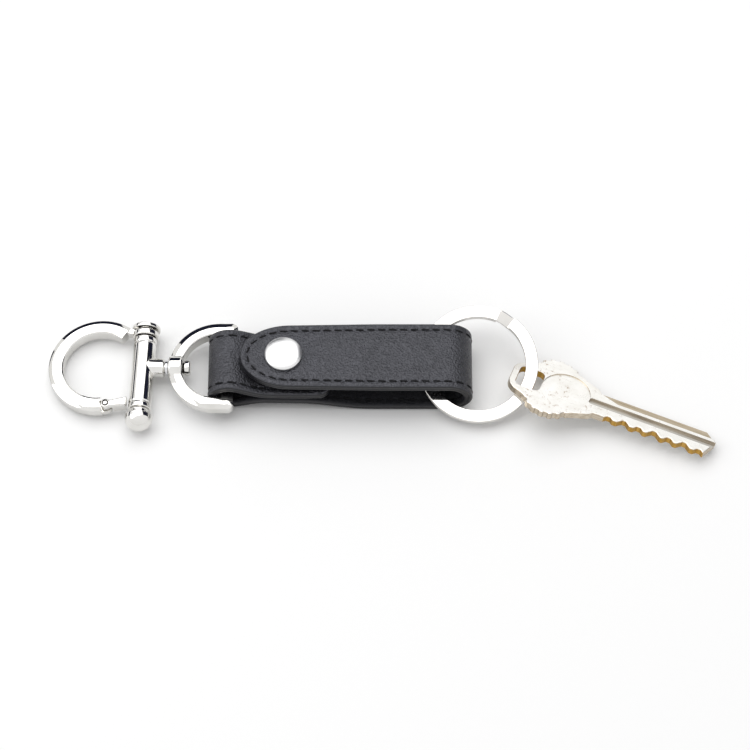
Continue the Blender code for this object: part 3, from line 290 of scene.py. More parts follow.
def mesh_of(name, verts, faces):
    mesh = bpy.data.meshes.new(name)
    mesh.from_pydata(verts, [], faces)
    return mesh


def faced_outwards(mesh, merge=None, flatten=None):
    """Turns a mesh's faces outwards, and first merges its doubled points and its flat faces where asked."""
    edit = bmesh.new()
    edit.from_mesh(mesh)
    if merge is not None:
        bmesh.ops.remove_doubles(edit, verts=edit.verts, dist=merge)
    if flatten is not None:
        bmesh.ops.dissolve_limit(edit, angle_limit=flatten, verts=edit.verts, edges=edit.edges)
    bmesh.ops.recalc_face_normals(edit, faces=edit.faces)
    edit.to_mesh(mesh)
    edit.free()
    return mesh


def leather_layer(name, stations, edge_distance, materials):
    """Leather along a line, each station being a point, its way, its half width and its distance from the
    end. Its materials are those of the outer face, the edge and the inner face."""
    verts = []
    for point, way, half, along in stations:
        scale = half / (STRAP_WIDTH / 2)
        across = [half - inset * MM * scale for inset in EDGE_INSETS]
        across = across + [0] + [-y for y in across[::-1]]
        normal = Vector((-way.y, way.x))
        ring = []
        for side in (1, -1):
            for y in across if side == 1 else across[::-1]:
                distance = edge_distance(along, y, half)
                level = HALF_STRAP - edge_fall(distance) + face_relief(distance)
                ring.append((point + normal * level * -side, y))
            wall_y = -half if side == 1 else half
            for level in EDGE_LEVELS[1:-1] if side == 1 else EDGE_LEVELS[1:-1][::-1]:
                notch = SEAM_NOTCH * scale if level == 0 else 0
                wall = (HALF_STRAP - EDGE_ROUND) * level
                ring.append((point + normal * -wall, wall_y - math.copysign(notch, wall_y)))
        verts += [(place.x, y, place.y) for place, y in ring]
    count = len(ring)
    face_count = 2 * len(EDGE_INSETS) + 1
    wall_count = len(EDGE_LEVELS) - 2
    # The edge paint reaches two columns of faces over the rim of each face
    row_slots = []
    for column in range(count):
        inside = column % (face_count + wall_count)
        on_edge = inside >= face_count - 3 or inside < 2
        row_slots.append(EDGE if on_edge else INNER_FACE if column >= face_count + wall_count else OUTER_FACE)
    faces = row_faces(len(stations), count)
    faces.append(tuple(range(count))[::-1])
    faces.append(tuple(range((len(stations) - 1) * count, len(stations) * count)))
    mesh = mesh_of(name, verts, faces)
    for material in materials:
        mesh.materials.append(material)
    mesh.polygons.foreach_set("material_index", row_slots * (len(stations) - 1) + [EDGE, EDGE])
    faced_outwards(mesh)
    mesh.shade_smooth()
    return new_piece(name, mesh)


def own_coordinates(tree):
    return tree.nodes.new("ShaderNodeTexCoord").outputs["Object"]


def noise_of(tree, coordinates, scale, detail=3, roughness=0.5, stretch=None):
    """Noise on the piece's own coordinates, stretched along one way where asked."""
    if stretch is not None:
        mapping = tree.nodes.new("ShaderNodeMapping")
        mapping.inputs["Scale"].default_value = stretch
        tree.links.new(coordinates, mapping.inputs["Vector"])
        coordinates = mapping.outputs["Vector"]
    noise = tree.nodes.new("ShaderNodeTexNoise")
    noise.inputs["Scale"].default_value = scale
    noise.inputs["Detail"].default_value = detail
    noise.inputs["Roughness"].default_value = roughness
    tree.links.new(coordinates, noise.inputs["Vector"])
    return noise.outputs["Fac"]


def ranged(tree, value, low, high, from_low=0.3, from_high=0.7):
    """A value spread over a new range, held at its ends."""
    spread_out = tree.nodes.new("ShaderNodeMapRange")
    spread_out.inputs["From Min"].default_value = from_low
    spread_out.inputs["From Max"].default_value = from_high
    spread_out.inputs["To Min"].default_value = low
    spread_out.inputs["To Max"].default_value = high
    tree.links.new(value, spread_out.inputs["Value"])
    return spread_out.outputs["Result"]


def between_colours(tree, value, deep, light):
    mix = tree.nodes.new("ShaderNodeMix")
    mix.data_type = "RGBA"
    mix.inputs["A"].default_value = (*deep, 1)
    mix.inputs["B"].default_value = (*light, 1)
    tree.links.new(value, mix.inputs["Factor"])
    return mix.outputs["Result"]


def bumped(tree, height, distance, under=None):
    bump = tree.nodes.new("ShaderNodeBump")
    bump.inputs["Distance"].default_value = distance
    tree.links.new(height, bump.inputs["Height"])
    if under is not None:
        tree.links.new(under, bump.inputs["Normal"])
    return bump.outputs["Normal"]


def dressed(tree, look, cloud, colours, wear, gloss, normal):
    """Lets one noise carry the colour and one the gloss, from the first of each pair to the second."""
    tree.links.new(between_colours(tree, ranged(tree, cloud, 0, 1), *colours), look["Base Color"])
    tree.links.new(ranged(tree, wear, *gloss), look["Roughness"])
    tree.links.new(normal, look["Normal"])


def calf_leather(name, colours, gloss, grain, shine):
    """Smooth black calf: a fine pebble grain with hair-fine creases, a little uneven in colour and gloss."""
    material, tree, look = new_material(name)
    look["Specular IOR Level"].default_value = shine
    look["Specular Tint"].default_value = (0.90, 0.91, 1.0, 1)
    own = own_coordinates(tree)
    cloudy = noise_of(tree, own, 110, 4, 0.6)
    fine = noise_of(tree, own, 2300, 3, 0.65)
    pebble = tree.nodes.new("ShaderNodeTexVoronoi")
    pebble.feature = "SMOOTH_F1"
    pebble.inputs["Scale"].default_value = 2100
    pebble.inputs["Smoothness"].default_value = 0.6
    tree.links.new(own, pebble.inputs["Vector"])
    pebbled = bumped(tree, pebble.outputs["Distance"], grain)
    dressed(tree, look, cloudy, colours, fine, gloss, bumped(tree, fine, grain * 0.8, pebbled))
    return material


def one_grain_finish(name, grain, colours, gloss, depth, metallic=0, shine=0.5):
    """A finish whose colour, gloss and height follow one grain: its scale, detail, roughness and stretch."""
    material, tree, look = new_material(name)
    look["Metallic"].default_value = metallic
    look["Specular IOR Level"].default_value = shine
    wave = noise_of(tree, own_coordinates(tree), *grain)
    dressed(tree, look, wave, colours, wave, gloss, bumped(tree, wave, depth))
    return material


GRAIN_COLOURS = ((0.002, 0.002, 0.003), (0.015, 0.015, 0.019))
LINING_COLOURS = ((0.003, 0.003, 0.004), (0.009, 0.009, 0.011))
EDGE_COLOURS = ((0.006, 0.006, 0.008), (0.013, 0.013, 0.016))
GRAIN_LEATHER = calf_leather("black_calf", GRAIN_COLOURS, (0.26, 0.56), 0.00022, 0.84)
LINING_LEATHER = calf_leather("black_lining_calf", LINING_COLOURS, (0.5, 0.7), 0.00018, 0.30)
EDGE_GRAIN = (420, 3, 0.6)
EDGE_PAINT = one_grain_finish("black_edge_paint", EDGE_GRAIN, EDGE_COLOURS, (0.28, 0.42), 0.00006, shine=0.32)
LEATHERS = (GRAIN_LEATHER, EDGE_PAINT, LINING_LEATHER)

arch_level = ARCH_HEIGHT + HALF_STRAP
over_level = arch_level + 2 * HALF_STRAP + LAYER_GAP
closing = math.radians(90) - CLASP_LOOP_CLOSING
loop_top = arc_line(CLASP_LOOP_CENTRE, CLASP_LOOP_RADIUS, closing, closing, 1)[0]
loop_foot = arc_line(CLASP_LOOP_CENTRE, CLASP_LOOP_RADIUS, -closing, -closing, 1)[0]
over_seat = (SNAP_X + SNAP_SEAT, over_level), (SNAP_X - SNAP_SEAT, over_level)
arch_seat = (SNAP_X - SNAP_SEAT, arch_level), (SNAP_X + SNAP_SEAT, arch_level)
strap_line = eased_line((LOOSE_END, over_level + LOOSE_END_LIFT), (-1, 0), over_seat[0], (-1, 0), 8)
strap_line += eased_line(over_seat[1], (-1, 0), loop_top, (-math.sin(closing), math.cos(closing)), 16)
strap_line += arc_line(CLASP_LOOP_CENTRE, CLASP_LOOP_RADIUS, closing, 2 * math.pi - closing, 40)[1:-1]
strap_line += eased_line(loop_foot, (math.sin(closing), math.cos(closing)), arch_seat[0], (1, 0), 16)
strap_line += eased_line(arch_seat[1], (1, 0), (ARCH_END, HALF_STRAP), (1, 0), 24)
strap_line.append(Vector((STRAP_JOIN, HALF_STRAP)))


def loose_end_half_width(half, along):
    """The strap's half width near its loose end, which has round corners."""
    if along >= LOOSE_CORNER:
        return half
    return half - LOOSE_CORNER + math.sqrt(LOOSE_CORNER**2 - (LOOSE_CORNER - along) ** 2)


def strap_edge_distance(along, y, half):
    full = strap_half_width(LOOSE_END) if along < LOOSE_CORNER else half
    corner_y = abs(y) - (full - LOOSE_CORNER)
    corner_x = LOOSE_CORNER - along
    if corner_y > 0 and corner_x > 0:
        return max(LOOSE_CORNER - math.hypot(corner_x, corner_y), 0)
    return max(min(along, full - abs(y)), 0)


end_insets = [inset * MM for inset in EDGE_INSETS if inset * MM < LOOSE_CORNER]
strap_distances = end_insets + spread(end_insets[-1] + STATION_GAP, line_length(strap_line), STATION_GAP)
strap_stations = []
for (point, way), along in zip(at_distances(strap_line, strap_distances), strap_distances):
    half = loose_end_half_width(strap_half_width(point.x), along)
    strap_stations.append((point, way, half, along))
strap = leather_layer("strap_leather", strap_stations, strap_edge_distance, LEATHERS)
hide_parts("strap_outer", "strap_lining")
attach(strap, "strap")


# The flap is the same leather carried on, round the split ring and back over the top to a rounded nose. It
# meets the strap on the table side, under the ring loop. Past the loop it bends and lifts with the snap's
# cap.
FLAP_TIP = -33.75 * MM
FLAP_TIP_LIFT = 0.5 * MM
NOSE_LENGTH = 12.5 * MM
NOSE_START = FLAP_TIP + NOSE_LENGTH
NOSE_HALF = strap_half_width(NOSE_START)
NOSE_STEPS = 44
NOSE_END_SHARE = 0.998
SHORT_WAY = 0.1 * MM


def flap_point(x):
    """A point in the middle of the flap's thickness, which turns up a little towards its tip."""
    share = max(SNAP_X - x, 0) / (SNAP_X - FLAP_TIP)
    return Vector((x, RING_LOOP_HEIGHT - HALF_STRAP + FLAP_TIP_LIFT * share**2))


def flap_edge_distance(depth, y, half):
    """Distance from the flap's edge. The depth is how far the place is past the start of the oval nose."""
    if depth <= 0:
        return max(half - abs(y), 0)
    reach = math.hypot(depth / NOSE_LENGTH, y / NOSE_HALF)
    slope = math.hypot(depth / NOSE_LENGTH**2, y / NOSE_HALF**2)
    return max(1 - reach, 0) * reach / slope


loop_turn = arc_line(RING_LOOP_CENTRE, RING_LOOP_RADIUS, -math.pi / 2, math.pi / 2, 48)
flap_line = [Vector((STRAP_JOIN, HALF_STRAP))] + loop_turn
flap_line += [flap_point(x) for x in spread(RING_LOOP_CENTRE[0], FLAP_TIP, -STATION_GAP)[1:]]
nose_length_along = line_length([flap_point(x) for x in spread(NOSE_START, FLAP_TIP, -STATION_GAP)])
nose_distance = line_length(flap_line) - nose_length_along
flap_stations = []
flap_distances = spread(0, nose_distance, STATION_GAP)
for point, way in at_distances(flap_line, flap_distances):
    flap_stations.append((point, way, strap_half_width(point.x), 0))
for step in range(1, NOSE_STEPS + 1):
    turn = math.pi / 2 * min(step / NOSE_STEPS, NOSE_END_SHARE)
    depth = NOSE_LENGTH * math.sin(turn)
    point = flap_point(NOSE_START - depth)
    way = (flap_point(NOSE_START - depth - SHORT_WAY) - point).normalized()
    flap_stations.append((point, way, NOSE_HALF * math.cos(turn), depth))
flap = leather_layer("flap_leather", flap_stations, flap_edge_distance, LEATHERS)
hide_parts("flap_outer", "flap_lining")
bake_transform(flap)


# Lockstitch in waxed black thread runs round both layers, a little inside the edge. Each stitch is its own
# short length of thread, set at a slight slant, and both its ends dip into the leather. It shows on both
# faces.
THREAD_RADIUS = 0.23 * MM
STITCH_PITCH = 2.75 * MM
STITCH_LENGTH = 2.15 * MM
STITCH_SLANT = 0.10
STITCH_RISE = 0.07 * MM
STITCH_DIP = 0.46 * MM
STITCH_SAMPLES = (-1.0, -0.86, -0.6, -0.3, 0.0, 0.3, 0.6, 0.86, 1.0)
THREAD_SIDES = 10
THREAD_END_SHARE = 0.8
ROW_STEP = 1.0 * MM
ROW_CORNER_STEPS = 6
NOSE_ROW_STEPS = 60
THREAD_COLOURS = ((0.002, 0.002, 0.003), (0.007, 0.007, 0.008))
THREAD_GRAIN = (2600, 3, 0.6, (1, 0.35, 1))
WAXED_THREAD = one_grain_finish("waxed_thread", THREAD_GRAIN, THREAD_COLOURS, (0.5, 0.7), 0.00005, shine=0.18)


def on_leather(line, distance, y, level):
    """A point at a level over the middle of the leather, on its outer face where the level is above zero."""
    point, way = at_distances(line, [distance])[0]
    return Vector((point.x + way.y * level, y, point.y - way.x * level))


def tube(verts, faces, points, radii, sides):
    """Adds a round tube through the points, closed at both ends."""
    first = len(verts)
    for index, point in enumerate(points):
        way = (points[min(index + 1, len(points) - 1)] - points[max(index - 1, 0)]).normalized()
        across = way.orthogonal() if index == 0 else across - way * across.dot(way)
        across = across.normalized()
        up = way.cross(across)
        for side in range(sides):
            angle = 2 * math.pi * side / sides
            verts.append(tuple(point + (across * math.cos(angle) + up * math.sin(angle)) * radii[index]))
    faces += row_faces(len(points), sides, first=first)
    faces.append(tuple(range(first, first + sides))[::-1])
    last = first + (len(points) - 1) * sides
    faces.append(tuple(range(last, last + sides)))


def stitches(name, line, path):
    """Stitches on both faces, along a path of (distance along the leather, place across it)."""
    verts = []
    faces = []
    count = max(round(line_length(path) / STITCH_PITCH), 1)
    pitch = line_length(path) / count
    radii = [THREAD_RADIUS * (THREAD_END_SHARE if abs(place) == 1 else 1) for place in STITCH_SAMPLES]
    for middle, way in at_distances(path, [pitch * (index + 0.5) for index in range(count)]):
        for face in (1, -1):
            slant = Vector((way.x - way.y * STITCH_SLANT * face, way.y + way.x * STITCH_SLANT * face))
            points = []
            for sample in STITCH_SAMPLES:
                place = middle + slant * (sample * STITCH_LENGTH / 2)
                height = STITCH_RISE * (1 - sample**2) - STITCH_DIP * abs(sample) ** 5
                level = HALF_STRAP - STITCH_FURROW + height
                points.append(on_leather(line, place.x, place.y, level * face))
            tube(verts, faces, points, radii, THREAD_SIDES)
    mesh = mesh_of(name, verts, faces)
    mesh.update(calc_edges=True)
    mesh.shade_smooth()
    piece = new_piece(name, mesh, WAXED_THREAD)
    return piece


def side_path(line, start, end, side, half_width):
    """A row along one side of the leather, a stitch inset inside its edge."""
    path = []
    for distance in spread(start, end, ROW_STEP):
        point = at_distances(line, [distance])[0][0]
        path.append(Vector((distance, side * (half_width(point.x) - STITCH_INSET))))
    return path


end_half = strap_half_width(LOOSE_END) - STITCH_INSET
corner = LOOSE_CORNER - STITCH_INSET
strap_end = line_length(strap_line)
turn_in = [Vector((LOOSE_CORNER, -end_half))]
for start, centre_y in ((-90, corner - end_half), (0, end_half - corner)):
    for step in range(ROW_CORNER_STEPS + 1):
        angle = math.radians(start + 90 * step / ROW_CORNER_STEPS)
        turn_in.append(Vector((LOOSE_CORNER - corner * math.cos(angle), centre_y + corner * math.sin(angle))))
row_start = LOOSE_CORNER + ROW_STEP
strap_path = side_path(strap_line, row_start, strap_end, -1, strap_half_width)[::-1] + turn_in
strap_path += side_path(strap_line, row_start, strap_end, 1, strap_half_width)
strap_stitches = stitches("strap_stitches", strap_line, strap_path)
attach(strap_stitches, "strap")

nose_row = []
for step in range(1, NOSE_ROW_STEPS):
    turn = math.pi / 2 - math.pi * step / NOSE_ROW_STEPS
    edge_x, edge_y = NOSE_LENGTH * math.cos(turn), -NOSE_HALF * math.sin(turn)
    out = Vector((edge_x / NOSE_LENGTH**2, edge_y / NOSE_HALF**2)).normalized()
    nose_row.append(Vector((nose_distance + edge_x - out.x * STITCH_INSET, edge_y - out.y * STITCH_INSET)))
flap_path = side_path(flap_line, 0, nose_distance, -1, strap_half_width) + nose_row
flap_path += side_path(flap_line, 0, nose_distance, 1, strap_half_width)[::-1]
flap_stitches = stitches("flap_stitches", flap_line, flap_path)
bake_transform(flap_stitches)


# The snap's cap is one polished low dome whose rim curls down on the leather. The socket, the stud and the
# rivet below it are plain turned steel.
MIRROR_ANGLE = math.radians(35)
POLISH_WAVE = 0.000004
SPUN_MERGE = 0.000002
CAP_RADIUS = 4.65 * MM
CAP_RISE = 1.15 * MM
CAP_RIM = 0.25 * MM
CAP_RIM_LIFT = 0.5 * MM
# How far in and how high in mm the rim is as it curls down on the leather
CAP_CURL = ((0.05, 0.30), (0.18, 0.12), (0.40, 0.05))
CAP_SEAT = 0.05 * MM
CAP_POST_RADIUS = 1.3 * MM


def polished_metal(name, deep, light, low_gloss, high_gloss):
    """Polished metal with faint clouding and hair-fine wear in its gloss."""
    material, tree, look = new_material(name)
    look["Metallic"].default_value = 1
    own = own_coordinates(tree)
    cloud = noise_of(tree, own, 180, 3, 0.5)
    wear = noise_of(tree, own, 1400, 4, 0.7, (1, 0.25, 1))
    dressed(tree, look, cloud, (deep, light), wear, (low_gloss, high_gloss), bumped(tree, cloud, POLISH_WAVE))
    return material


def turned_mesh(name, profile, axis="Z", sides=72):
    """A solid turned from (radius, height) points, from the middle of one end to the middle of the other."""
    edit = bmesh.new()
    points = [edit.verts.new((radius, 0, height)) for radius, height in profile]
    edges = [edit.edges.new(pair) for pair in zip(points, points[1:])]
    bmesh.ops.spin(
        edit,
        geom=points + edges,
        axis=(0, 0, 1),
        cent=(0, 0, 0),
        angle=2 * math.pi,
        steps=sides,
        use_merge=True,
    )
    bmesh.ops.remove_doubles(edit, verts=edit.verts, dist=SPUN_MERGE)
    bmesh.ops.recalc_face_normals(edit, faces=edit.faces)
    mesh = bpy.data.meshes.new(name)
    edit.to_mesh(mesh)
    edit.free()
    if axis == "X":
        mesh.transform(Matrix.Rotation(math.radians(90), 4, "Y"))
    if axis == "Y":
        mesh.transform(Matrix.Rotation(math.radians(-90), 4, "X"))
    return mesh


def turned_piece(name, profile, place, axis="Z", sides=72):
    piece = new_piece(name, turned_mesh(name, profile, axis, sides))
    piece.matrix_world = place
    return piece


def soft_corners(points, reach, steps=4):
    """Rounds every corner of a profile but its first and last points."""
    points = [Vector(point) for point in points]
    soft = [tuple(points[0])]
    for before, corner_point, after in zip(points, points[1:], points[2:]):
        start = corner_point.lerp(before, min(reach / (before - corner_point).length, 0.45))
        end = corner_point.lerp(after, min(reach / (after - corner_point).length, 0.45))
        for step in range(steps + 1):
            t = step / steps
            soft.append(tuple(start * (1 - t) ** 2 + corner_point * (2 * t * (1 - t)) + end * t**2))
    soft.append(tuple(points[-1]))
    return soft


def finished(piece, material, node, body, angle=MIRROR_ANGLE):
    """Smooth-shades a metal piece up to its sharp edges, gives it its metal and sets it on its body."""
    mesh = piece.data
    mesh.materials.clear()
    mesh.materials.append(material)
    mesh.polygons.foreach_set("material_index", [0] * len(mesh.polygons))
    mesh.shade_smooth()
    mesh.set_sharp_from_angle(angle=angle)
    weighted = piece.modifiers.new("even_shading", "WEIGHTED_NORMAL")
    weighted.keep_sharp = True
    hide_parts(node)
    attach(piece, body)
    return piece


def dome_profile(radius, rise, rim, base, steps):
    """Points of a dome from its crown to the foot of its straight rim."""
    points = [(0, base + rim + rise)]
    for step in range(1, steps + 1):
        angle = math.pi / 2 * (1 - step / steps)
        points.append((radius * math.cos(angle), base + rim + rise * math.sin(angle)))
    points.append((radius, base))
    return points


SNAP_STEEL = polished_metal("snap_steel", (0.62, 0.62, 0.63), (0.72, 0.72, 0.73), 0.14, 0.26)
CAP_CHROME = polished_metal("cap_chrome", (0.74, 0.74, 0.74), (0.84, 0.84, 0.84), 0.30, 0.38)
cap_profile = dome_profile(CAP_RADIUS, CAP_RISE, CAP_RIM, RING_LOOP_HEIGHT + CAP_RIM_LIFT, 20)
cap_profile += [(CAP_RADIUS - inset * MM, RING_LOOP_HEIGHT + lift * MM) for inset, lift in CAP_CURL]
cap_profile += [
    (CAP_POST_RADIUS, RING_LOOP_HEIGHT + CAP_SEAT),
    (CAP_POST_RADIUS, RING_LOOP_HEIGHT - 2 * HALF_STRAP),
    (0, RING_LOOP_HEIGHT - 2 * HALF_STRAP),
]
cap = turned_piece("snap_cap_dome", cap_profile, Matrix.Translation((SNAP_X, 0, 0)), sides=96)
finished(cap, CAP_CHROME, "snap_cap", "flap")
for name in ("snap_socket", "snap_stud", "snap_rivet"):
    steel_piece = bpy.data.objects[name]
    steel_piece.data.materials.clear()
    steel_piece.data.materials.append(SNAP_STEEL)


# The D-ring is a cast D whose outer edges have a wide, low bevel. Its straight bar lies in the strap's loop,
# and a short round boss at the middle of its bow carries the swivel. It is modelled in the clasp's frame.
CLASP_TURN = math.radians(-2.5)
CLASP_PITCH = math.radians(-4.436)
CLASP_PLACE = (
    Matrix.Translation((CLASP_LOOP_CENTRE[0], 0, CLASP_LOOP_CENTRE[1]))
    @ Matrix.Rotation(CLASP_TURN, 4, "Z")
    @ Matrix.Rotation(CLASP_PITCH, 4, "Y")
)
D_BAND = 3.3 * MM
D_THICKNESS = 3.4 * MM
D_RADIUS = 12.2 * MM
D_MIDDLE = -3.1 * MM
D_BEVEL = 1.35 * MM
INNER_BEVEL = 0.45 * MM
BEVEL_SLOPE = math.radians(22)
BAND_SOFTNESS = 0.14 * MM
LEG_STEP = 0.5 * MM
BAR_STEP = 0.8 * MM
BOSS_LENGTH = 3.6 * MM
BOSS_RADIUS = 3.1 * MM
BOSS_SOFTNESS = 0.7 * MM
PIN_RADIUS = 1.2 * MM
RUNNING_GAP = 0.3 * MM
OVERRUN = 2 * MM
MERGE = 0.000001
FLAT_ANGLE = 0.001


def plate_mesh(name, outlines, thickness):
    """A flat plate cut to closed outlines, the later ones being its holes."""
    curve = bpy.data.curves.new(name, "CURVE")
    curve.dimensions = "2D"
    curve.fill_mode = "BOTH"
    curve.extrude = thickness / 2
    for outline in outlines:
        spline = curve.splines.new("POLY")
        spline.points.add(len(outline) - 1)
        for point, (x, y) in zip(spline.points, outline):
            point.co = (x, y, 0, 1)
        spline.use_cyclic_u = True
    holder = new_piece(name, curve)
    bpy.context.view_layer.update()
    mesh = bpy.data.meshes.new_from_object(holder.evaluated_get(bpy.context.evaluated_depsgraph_get()))
    bpy.data.objects.remove(holder)
    return faced_outwards(mesh, MERGE, FLAT_ANGLE)


def band_mesh(name, rows, thickness, outer_bevel, closed):
    """A flat band through (outer point, inner point) rows, whose outer edges carry a wide, low bevel."""
    verts = []
    for outer, inner in rows:
        middle = (outer + inner) / 2
        way = (outer - inner).normalized()
        half_x, half_z = (outer - inner).length / 2, thickness / 2
        fall = outer_bevel * math.tan(BEVEL_SLOPE)
        corner_points = [
            (0, half_z),
            (half_x - outer_bevel, half_z),
            (half_x, half_z - fall),
            (half_x, fall - half_z),
            (half_x - outer_bevel, -half_z),
            (INNER_BEVEL - half_x, -half_z),
            (-half_x, INNER_BEVEL / 2 - half_z),
            (-half_x, half_z - INNER_BEVEL / 2),
            (INNER_BEVEL - half_x, half_z),
            (0, half_z),
        ]
        for x, z in soft_corners(corner_points, BAND_SOFTNESS, 3)[:-1]:
            place = middle + way * x
            verts.append((place.x, place.y, z))
    count = len(verts) // len(rows)
    faces = row_faces(len(rows), count, closed)
    if not closed:
        faces += [tuple(range(count))[::-1], tuple(range(len(verts) - count, len(verts)))]
    return faced_outwards(mesh_of(name, verts, faces), MERGE)


def settled(piece):
    """Makes what the modifiers show the piece's own mesh."""
    bpy.context.view_layer.update()
    mesh = bpy.data.meshes.new_from_object(piece.evaluated_get(bpy.context.evaluated_depsgraph_get()))
    piece.modifiers.clear()
    piece.data = mesh
    return piece


def bevelled(piece, width, segments, angle=math.radians(40)):
    bevel = piece.modifiers.new("edge", "BEVEL")
    bevel.width = width
    bevel.segments = segments
    bevel.limit_method = "ANGLE"
    bevel.angle_limit = angle
    bevel.use_clamp_overlap = False
    return settled(piece)


def worked(piece, mesh, place, operation="DIFFERENCE"):
    """Cuts a shape out of a piece, or joins it on."""
    other = new_piece(mesh.name + "_shape", mesh)
    other.matrix_world = place
    step = piece.modifiers.new("shape", "BOOLEAN")
    step.operation = operation
    step.solver = "EXACT"
    step.object = other
    settled(piece)
    bpy.data.objects.remove(other)
    return piece


def rod(radius, top, bottom):
    """The profile of a plain round rod, for a boss, an eye or a bore."""
    return [(0, top), (radius, top), (radius, bottom), (0, bottom)]


CHROME = polished_metal("bright_chrome", (0.70, 0.69, 0.66), (0.80, 0.79, 0.77), 0.035, 0.075)
bar_side = D_BAND / 2
inner_end = D_RADIUS - D_BAND
turn_outer = arc_line((D_MIDDLE, 0), D_RADIUS, math.pi / 2, math.pi * 3 / 2, 96)
turn_inner = arc_line((D_MIDDLE, 0), inner_end, math.pi / 2, math.pi * 3 / 2, 96)
d_rows = list(zip(turn_outer, turn_inner))
for side in (-1, 1):
    leg = []
    for x in spread(D_MIDDLE, -bar_side, LEG_STEP)[1:]:
        leg.append((Vector((x, side * D_RADIUS)), Vector((x, side * inner_end))))
    corner_points = arc_line((0, D_RADIUS - bar_side), bar_side, math.pi / 2, 0, 12)
    inner_corner = Vector((-bar_side, side * inner_end))
    leg += [(Vector((point.x, side * point.y)), inner_corner) for point in corner_points]
    bar_rows = [Vector((0, side * y)) for y in spread(inner_end, LEG_STEP, -BAR_STEP)]
    leg += [(point + Vector((bar_side, 0)), point - Vector((bar_side, 0))) for point in bar_rows]
    d_rows += leg if side == -1 else leg[::-1]
d_ring = new_piece("d_ring_cast", band_mesh("d_ring_cast", d_rows, D_THICKNESS, D_BEVEL, True))
d_ring.matrix_world = CLASP_PLACE
boss_left = D_MIDDLE - D_RADIUS
boss_right = boss_left + BOSS_LENGTH
boss = soft_corners(rod(BOSS_RADIUS, boss_right, boss_left), BOSS_SOFTNESS, 5)
worked(d_ring, turned_mesh("boss", boss, "X"), CLASP_PLACE, "UNION")
bore_reach = BOSS_LENGTH + OVERRUN
bore_radius = PIN_RADIUS + RUNNING_GAP
at_boss = CLASP_PLACE @ Matrix.Translation((boss_left + BOSS_LENGTH / 2, 0, 0))
worked(d_ring, turned_mesh("swivel_bore", rod(bore_radius, bore_reach, -bore_reach), "X", 48), at_boss)
finished(d_ring, CHROME, "d_ring", "d_ring")


# The swivel pin's round head shows inside the D-ring, and its washer between the boss and the stem. The cross
# barrel has a turned groove near each end, a thinner neck beyond it, and a stem that flares into the barrel.
BARREL_X = -22.0 * MM
BARREL_RADIUS = 2.9 * MM
BOW_RADIUS = 12.9 * MM
BOW_BAND = 3.7 * MM
BOW_MIDDLE = BOW_RADIUS - BOW_BAND / 2
BOW_FAR_END = math.radians(56)
BOW_NEAR_END = math.radians(-83)
GATE_PIVOT = math.radians(-77)
PIVOT_TO_NECK = 1.2 * MM
FAR_NECK = 2.1 * MM
NEAR_NECK = 1.3 * MM
NECK_RADIUS = 2.0 * MM
STEM_RADIUS = 2.4 * MM
STEM_CHAMFER = 0.35 * MM
STEM_STRAIGHT = 0.7 * MM
STEM_FLARE = 0.45 * MM
STEM_FLARE_POWER = 2.5
STEM_STEPS = 8
WASHER_ROOM = 0.8 * MM
WASHER_THICKNESS = 0.5 * MM
PIN_DEPTH = 2.4 * MM
HEAD_RADIUS = 1.9 * MM
HEAD_LENGTH = 1.5 * MM
HEAD_SOFTNESS = 0.45 * MM
barrel_far = BOW_MIDDLE * math.sin(BOW_FAR_END) - FAR_NECK / 2
barrel_near = BOW_MIDDLE * math.sin(GATE_PIVOT) - PIVOT_TO_NECK
washer_end = boss_left - RUNNING_GAP
stem_end = washer_end - WASHER_ROOM
pin_end = stem_end - PIN_DEPTH
head_start = boss_right + RUNNING_GAP
pin_profile = rod(HEAD_RADIUS, head_start + HEAD_LENGTH, head_start)[:-1]
pin_profile += rod(PIN_RADIUS, head_start, pin_end)[1:]
swivel_pin = turned_piece("swivel_pin_turned", soft_corners(pin_profile, HEAD_SOFTNESS), CLASP_PLACE, "X")
finished(swivel_pin, CHROME, "swivel_pin", "clasp")
washer_profile = [
    (bore_radius, washer_end),
    (HEAD_RADIUS, washer_end),
    (HEAD_RADIUS, washer_end - WASHER_THICKNESS),
    (bore_radius, washer_end - WASHER_THICKNESS),
    (bore_radius, washer_end),
]
washer = turned_piece("swivel_washer_turned", washer_profile, CLASP_PLACE, "X")
finished(washer, SNAP_STEEL, "swivel_washer", "clasp")

GROOVE_WIDTH = 0.7 * MM
GROOVE_DEPTH = 0.22 * MM
GROOVE_PLACE = 1.2 * MM
BARREL_SOFTNESS = 0.28 * MM
groove_root = BARREL_RADIUS - GROOVE_DEPTH
shaft_profile = rod(NECK_RADIUS, barrel_far + FAR_NECK, barrel_far)[:-1]
shaft_profile += [
    (BARREL_RADIUS, barrel_far),
    (BARREL_RADIUS, barrel_far - GROOVE_PLACE),
    (groove_root, barrel_far - GROOVE_PLACE - GROOVE_WIDTH / 2),
    (BARREL_RADIUS, barrel_far - GROOVE_PLACE - GROOVE_WIDTH),
    (BARREL_RADIUS, barrel_near + GROOVE_PLACE + GROOVE_WIDTH),
    (groove_root, barrel_near + GROOVE_PLACE + GROOVE_WIDTH / 2),
    (BARREL_RADIUS, barrel_near + GROOVE_PLACE),
    (BARREL_RADIUS, barrel_near),
]
shaft_profile += rod(NECK_RADIUS, barrel_near, barrel_near - NEAR_NECK)[1:]
BARREL_PLACE = CLASP_PLACE @ Matrix.Translation((BARREL_X, 0, 0))
shaft = soft_corners(shaft_profile, BARREL_SOFTNESS, 3)
barrel = turned_piece("cross_barrel_cast", shaft, BARREL_PLACE, "Y", 96)
stem_profile = [(0, stem_end), (STEM_RADIUS - STEM_CHAMFER, stem_end), (STEM_RADIUS, stem_end - STEM_CHAMFER)]
